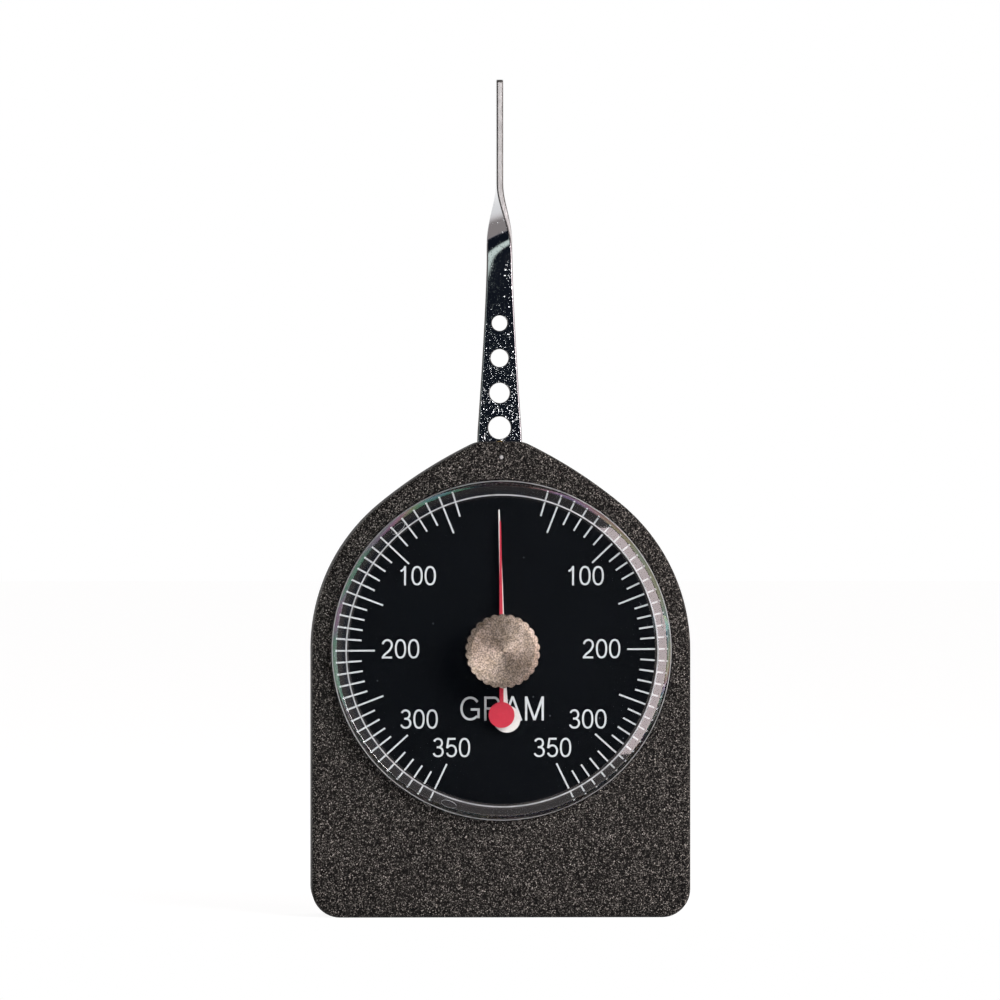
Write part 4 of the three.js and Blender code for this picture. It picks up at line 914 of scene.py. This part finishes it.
def leverWidth(height):
    s = leverSizes
    if height < 0:
        return s["pivotWidth"] + (s["pivotWidth"] - s["tailWidth"]) * height / s["tail"]
    if height < s["baseHeight"]:
        return s["pivotWidth"] - (s["pivotWidth"] - s["baseWidth"]) * height / s["baseHeight"]
    if height < s["twistStart"]:
        along = (height - s["baseHeight"]) / (s["twistStart"] - s["baseHeight"])
        share = (1 - along) ** s["taperPower"]
        return s["twistWidth"] + (s["baseWidth"] - s["twistWidth"]) * share
    along = (height - s["twistStart"]) / (s["length"] - s["twistStart"])
    width = s["twistWidth"] + (s["tipWidth"] - s["twistWidth"]) * along
    left = max(0, height - s["length"] + s["tipRound"]) / s["tipRound"]
    return width - 2 * s["tipRound"] * (1 - math.sqrt(max(0, 1 - left * left)))


def leverTwist(height):
    s = leverSizes
    along = min(1, max(0, (height - s["twistStart"]) / s["twistLength"]))
    return -math.pi / 2 * along * along * (3 - 2 * along)


def holeCutter(radius, height, half):
    # a straight hole whose two mouths are broken
    broken = leverSizes["holeBreak"]
    return turnedProfile([
        (0, -half - 1), (radius + broken, -half - 1), (radius + broken, -half),
        (radius, -half + broken), (radius, half - broken), (radius + broken, half),
        (radius + broken, half + 1), (0, half + 1),
    ], 64, 0, height)


def makeLever():
    s = leverSizes
    half = s["thickness"] / 2
    blankHalf = s["pivotWidth"] / 2
    bm = blockBetween((-blankHalf, -half, -s["tail"]), (blankHalf, half, s["length"]))
    corners = [e for e in bm.edges if abs(e.verts[0].co.z - e.verts[1].co.z) > 1]
    bmesh.ops.bevel(bm, geom=corners, offset=s["edgeBreak"], offset_type="OFFSET", segments=3,
                    profile=0.5, affect="EDGES", material=-1)
    total = s["length"] + s["tail"]
    cuts = [i / s["cutsAlong"] for i in range(1, s["cutsAlong"])]
    for share in cuts + s["tipCuts"]:
        bmesh.ops.bisect_plane(bm, geom=list(bm.verts) + list(bm.edges) + list(bm.faces),
                               plane_co=(0, 0, total * share - s["tail"]), plane_no=(0, 0, 1))
    for corner in bm.verts:
        inward = blankHalf - leverWidth(corner.co.z) / 2
        corner.co.x -= math.copysign(inward, corner.co.x)
    holes = [rodAlongY(s["hubBore"], -2, 2, 0, 0, 48)]
    for height in s["rivets"]:
        holes.append(rodAlongY(s["rivetBore"], -2, 2, 0, height, 32))
    for i in range(s["holes"]):
        holes.append(holeCutter(s["holeRadius"] - i * s["holeShrink"],
                                s["holeHeight"] + i * s["holePitch"], half))
    bm = combine(bm, holes)
    bm.normal_update()
    flatSlot, shearedSlot, burrSlotPaintedDark = 0, 1, 2
    for face in bm.faces:
        # the sheared edges of the strip, and the burr on each side of them; the burr faces are
        # real, but their near-black colour is painted shading, a dark line along each edge
        sideways = abs(face.normal.x)
        face.material_index = (shearedSlot if sideways > 0.99 else burrSlotPaintedDark if sideways > 0.5
                               else flatSlot)
    for corner in bm.verts:
        turn = leverTwist(corner.co.z)
        if turn:
            x, y = corner.co.x, corner.co.y
            corner.co.x = x * math.cos(turn) - y * math.sin(turn)
            corner.co.y = x * math.sin(turn) + y * math.cos(turn)
    bmesh.ops.translate(bm, vec=(0, 0, pivotHeight), verts=bm.verts)
    lever = finishPiece(bm, "leverStrip", chromePlate, "lever_arm", ["lever"], 40,
                        otherSkins=[shearedChrome, burrEdgePaintedDark])
    flatten(lever)


axleSizes = {"tip": 0.35, "tipEnd": -8.9, "dome": 0.2, "shoulder": -6, "radius": 1, "back": 6.8}


def makeAxle():
    s = axleSizes
    quarter = [math.pi / 2 * i / 6 for i in range(7)]
    dome = [(s["tip"] * math.sin(a), s["tipEnd"] + s["dome"] * (1 - math.cos(a)))
            for a in quarter]
    profile = dome + [(s["tip"], s["shoulder"]), (s["radius"], s["shoulder"]),
                      (s["radius"], s["back"]), (0, s["back"])]
    axle = turnedProfile(profile, 32, 0, pivotHeight)
    finishPiece(axle, "leverAxle", shearedChrome, "housing", ["lever_axle"])


makeLever()
makeAxle()
print("lever and axle made")


finishes = {
    "dial": dialLacquer, "drive_pin": groundSteel, "knob_spindle": groundSteel,
    "pinion_arbor": groundSteel, "stop_pin_left": groundSteel, "stop_pin_right": groundSteel,
    "measuring_spring": bluedSteel, "friction_washer": bluedSteel,
    "pointer_hub": rolledBrass, "drag_hub": rolledBrass, "spring_collet": rolledBrass,
    "spring_stud": rolledBrass, "front_bush": rolledBrass, "back_bush": rolledBrass,
    "bridge_plate": rolledBrass, "lever_hub": rolledBrass, "sector_gear": rolledBrass,
    "sector_rivet_1": rolledBrass, "sector_rivet_2": rolledBrass,
}
for number in (1, 2, 3):
    finishes[f"bridge_pillar_{number}"] = rolledBrass
    finishes[f"bridge_screw_{number}"] = groundSteel
for name, material in finishes.items():
    nodes[name].data.materials.clear()
    nodes[name].data.materials.append(material)
print("movement finished")


floorSizes = {"halfWidth": 3, "front": -0.0125, "back": 4, "glowShare": 0.75, "glow": 1.22}


def makeFloor():
    # it ends in front of the object, so that the crystal mirrors a dark room and not the floor
    s = floorSizes
    bm = bmesh.new()
    bmesh.ops.create_grid(bm, x_segments=1, y_segments=1, size=1)
    bmesh.ops.scale(bm, vec=(s["halfWidth"], (s["back"] - s["front"]) / 2, 1), verts=bm.verts)
    bmesh.ops.translate(bm, vec=(0, (s["back"] + s["front"]) / 2, 0), verts=bm.verts)
    floor = addObject(bm, "floor")
    material, tree, shader = newMaterial("white studio floor", "#f4f4f4", 0.9)[:3]
    rays = addNode(tree, "LightPath")
    glow = addNode(tree, "Emission", {"Color": (1, 1, 1, 1), "Strength": s["glow"]})
    shown = addNode(tree, "Math", {"operation": "ADD"},
                    {0: rays.outputs["Is Glossy Ray"], 1: rays.outputs["Is Transmission Ray"]})
    shown = addNode(tree, "Math", {"operation": "ADD", "use_clamp": True},
                    {0: rays.outputs["Is Camera Ray"], 1: shown})
    seen = addNode(tree, "Math", {"operation": "MULTIPLY", 1: s["glowShare"]}, {0: shown})
    mixed = addNode(tree, "MixShader", {}, {0: seen, 1: shader, 2: glow})
    feed(tree, tree.nodes["Material Output"], {"Surface": mixed})
    floor.data.materials.append(material)


# An outward direction from the object, azimuth 0 in front of the dial and positive to the right
def directionTo(azimuth, elevation):
    a, e = math.radians(azimuth), math.radians(elevation)
    return Vector((math.sin(a) * math.cos(e), -math.cos(a) * math.cos(e), math.sin(e)))


skySizes = {
    "dark": 0.02, "side": 0.32, "overhead": 0.1, "back": 0.5,
    "sideFrom": -0.62, "sideFull": -0.56, "backFrom": 0.1, "backFull": 0.7,
    "windowAzimuth": -17, "windowElevation": 1, "windowEdge": 0.986, "windowCore": 0.999,
}


def makeSky():
    # a dark room in front, grey walls beside the object, white behind it, and one soft window
    s = skySizes
    world = bpy.data.worlds.new("studio")
    scene.world = world
    world.use_nodes = True
    tree = world.node_tree
    direction = addNode(tree, "TexCoord").outputs["Generated"]
    parts = addNode(tree, "SeparateXYZ", {}, {0: direction})
    beside = addNode(tree, "MapRange", {"From Min": s["sideFrom"], "From Max": s["sideFull"],
                                        "interpolation_type": "SMOOTHSTEP"},
                     {"Value": parts.outputs["Y"]})
    behind = addNode(tree, "MapRange", {"From Min": s["backFrom"], "From Max": s["backFull"],
                                        "interpolation_type": "SMOOTHSTEP"},
                     {"Value": parts.outputs["Y"]})
    backdrop = addNode(tree, "Math", {"operation": "MULTIPLY_ADD", 1: s["back"], 2: s["dark"]},
                       {0: behind})
    wall = addNode(tree, "MapRange", {"To Min": s["side"], "To Max": s["overhead"]},
                   {"Value": parts.outputs["Z"]})
    room = addNode(tree, "Math", {"operation": "MULTIPLY_ADD"}, {0: beside, 1: wall, 2: backdrop})
    tint = addNode(tree, "Mix", {"data_type": "RGBA", 6: toLinear("#9fb8e8"),
                                 7: toLinear("#fff4f2")}, {0: beside})
    walls = addNode(tree, "VectorMath", {"operation": "SCALE"}, {0: tint, "Scale": room})
    aim = addNode(tree, "VectorMath", {"operation": "DOT_PRODUCT",
                                       1: directionTo(s["windowAzimuth"], s["windowElevation"])},
                  {0: direction})
    window = addNode(tree, "MapRange", {"From Min": s["windowEdge"], "From Max": s["windowCore"],
                                        "interpolation_type": "SMOOTHSTEP"}, {"Value": aim})
    lit = addNode(tree, "Mix", {"data_type": "RGBA", 7: (0.8, 0.92, 0.86, 1)},
                  {0: window, 6: walls})
    # the camera sees the backdrop white, and metal and clear parts show what is behind them white
    rays = addNode(tree, "LightPath")
    shown = addNode(tree, "Math", {"operation": "ADD"},
                    {0: rays.outputs["Is Glossy Ray"], 1: rays.outputs["Is Transmission Ray"]})
    white = addNode(tree, "Math", {"operation": "MULTIPLY_ADD", "use_clamp": True},
                    {0: shown, 1: behind, 2: rays.outputs["Is Camera Ray"]})
    seen = addNode(tree, "Mix", {"data_type": "RGBA", 7: (1, 1, 1, 1)}, {0: white, 6: lit})
    feed(tree, tree.nodes["Background"], {"Color": seen})


lampAim = Vector((0, 0, 0.06))  # the middle of the object


def addLamp(name, azimuth, elevation, distance, width, height, power, colour="#ffffff"):
    away = directionTo(azimuth, elevation)
    lamp = bpy.data.lights.new(name, "AREA")
    lamp.shape = "RECTANGLE"
    lamp.size, lamp.size_y = width, height
    lamp.energy = power
    lamp.color = toLinear(colour)[:3]
    holder = bpy.data.objects.new(name, lamp)
    holder.location = lampAim + away * distance
    holder.rotation_euler = away.to_track_quat("Z", "Y").to_euler()
    holder.visible_transmission = False  # inside the crystal's wall it would only glitter
    scene.collection.objects.link(holder)


cameraSizes = {"azimuth": -1.9, "elevation": 0.3, "distance": 1.591, "lens": 361.8,
               "aim": (-0.00022, -0.009, 0.06615)}


def makeCamera():
    s = cameraSizes
    away = directionTo(s["azimuth"], s["elevation"])
    camera = bpy.data.cameras.new("camera")
    camera.sensor_width = 36
    camera.lens = s["lens"]
    camera.clip_start, camera.clip_end = 0.1, 20
    holder = bpy.data.objects.new("camera", camera)
    holder.location = Vector(s["aim"]) + away * s["distance"]
    holder.rotation_euler = away.to_track_quat("Z", "Y").to_euler()
    scene.collection.objects.link(holder)
    scene.camera = holder


makeFloor()
makeSky()
addLamp("rightKey", azimuth=30, elevation=20, distance=1.1, width=0.5, height=0.5, power=9.5)
addLamp("rightScreen", azimuth=55, elevation=2, distance=1.0, width=0.5, height=1.45, power=8,
        colour="#ffeef0")
addLamp("leftLow", azimuth=-80, elevation=-34, distance=1.1, width=0.6, height=0.6, power=10)
makeCamera()
scene.view_settings.view_transform = "Standard"
print("stage made")
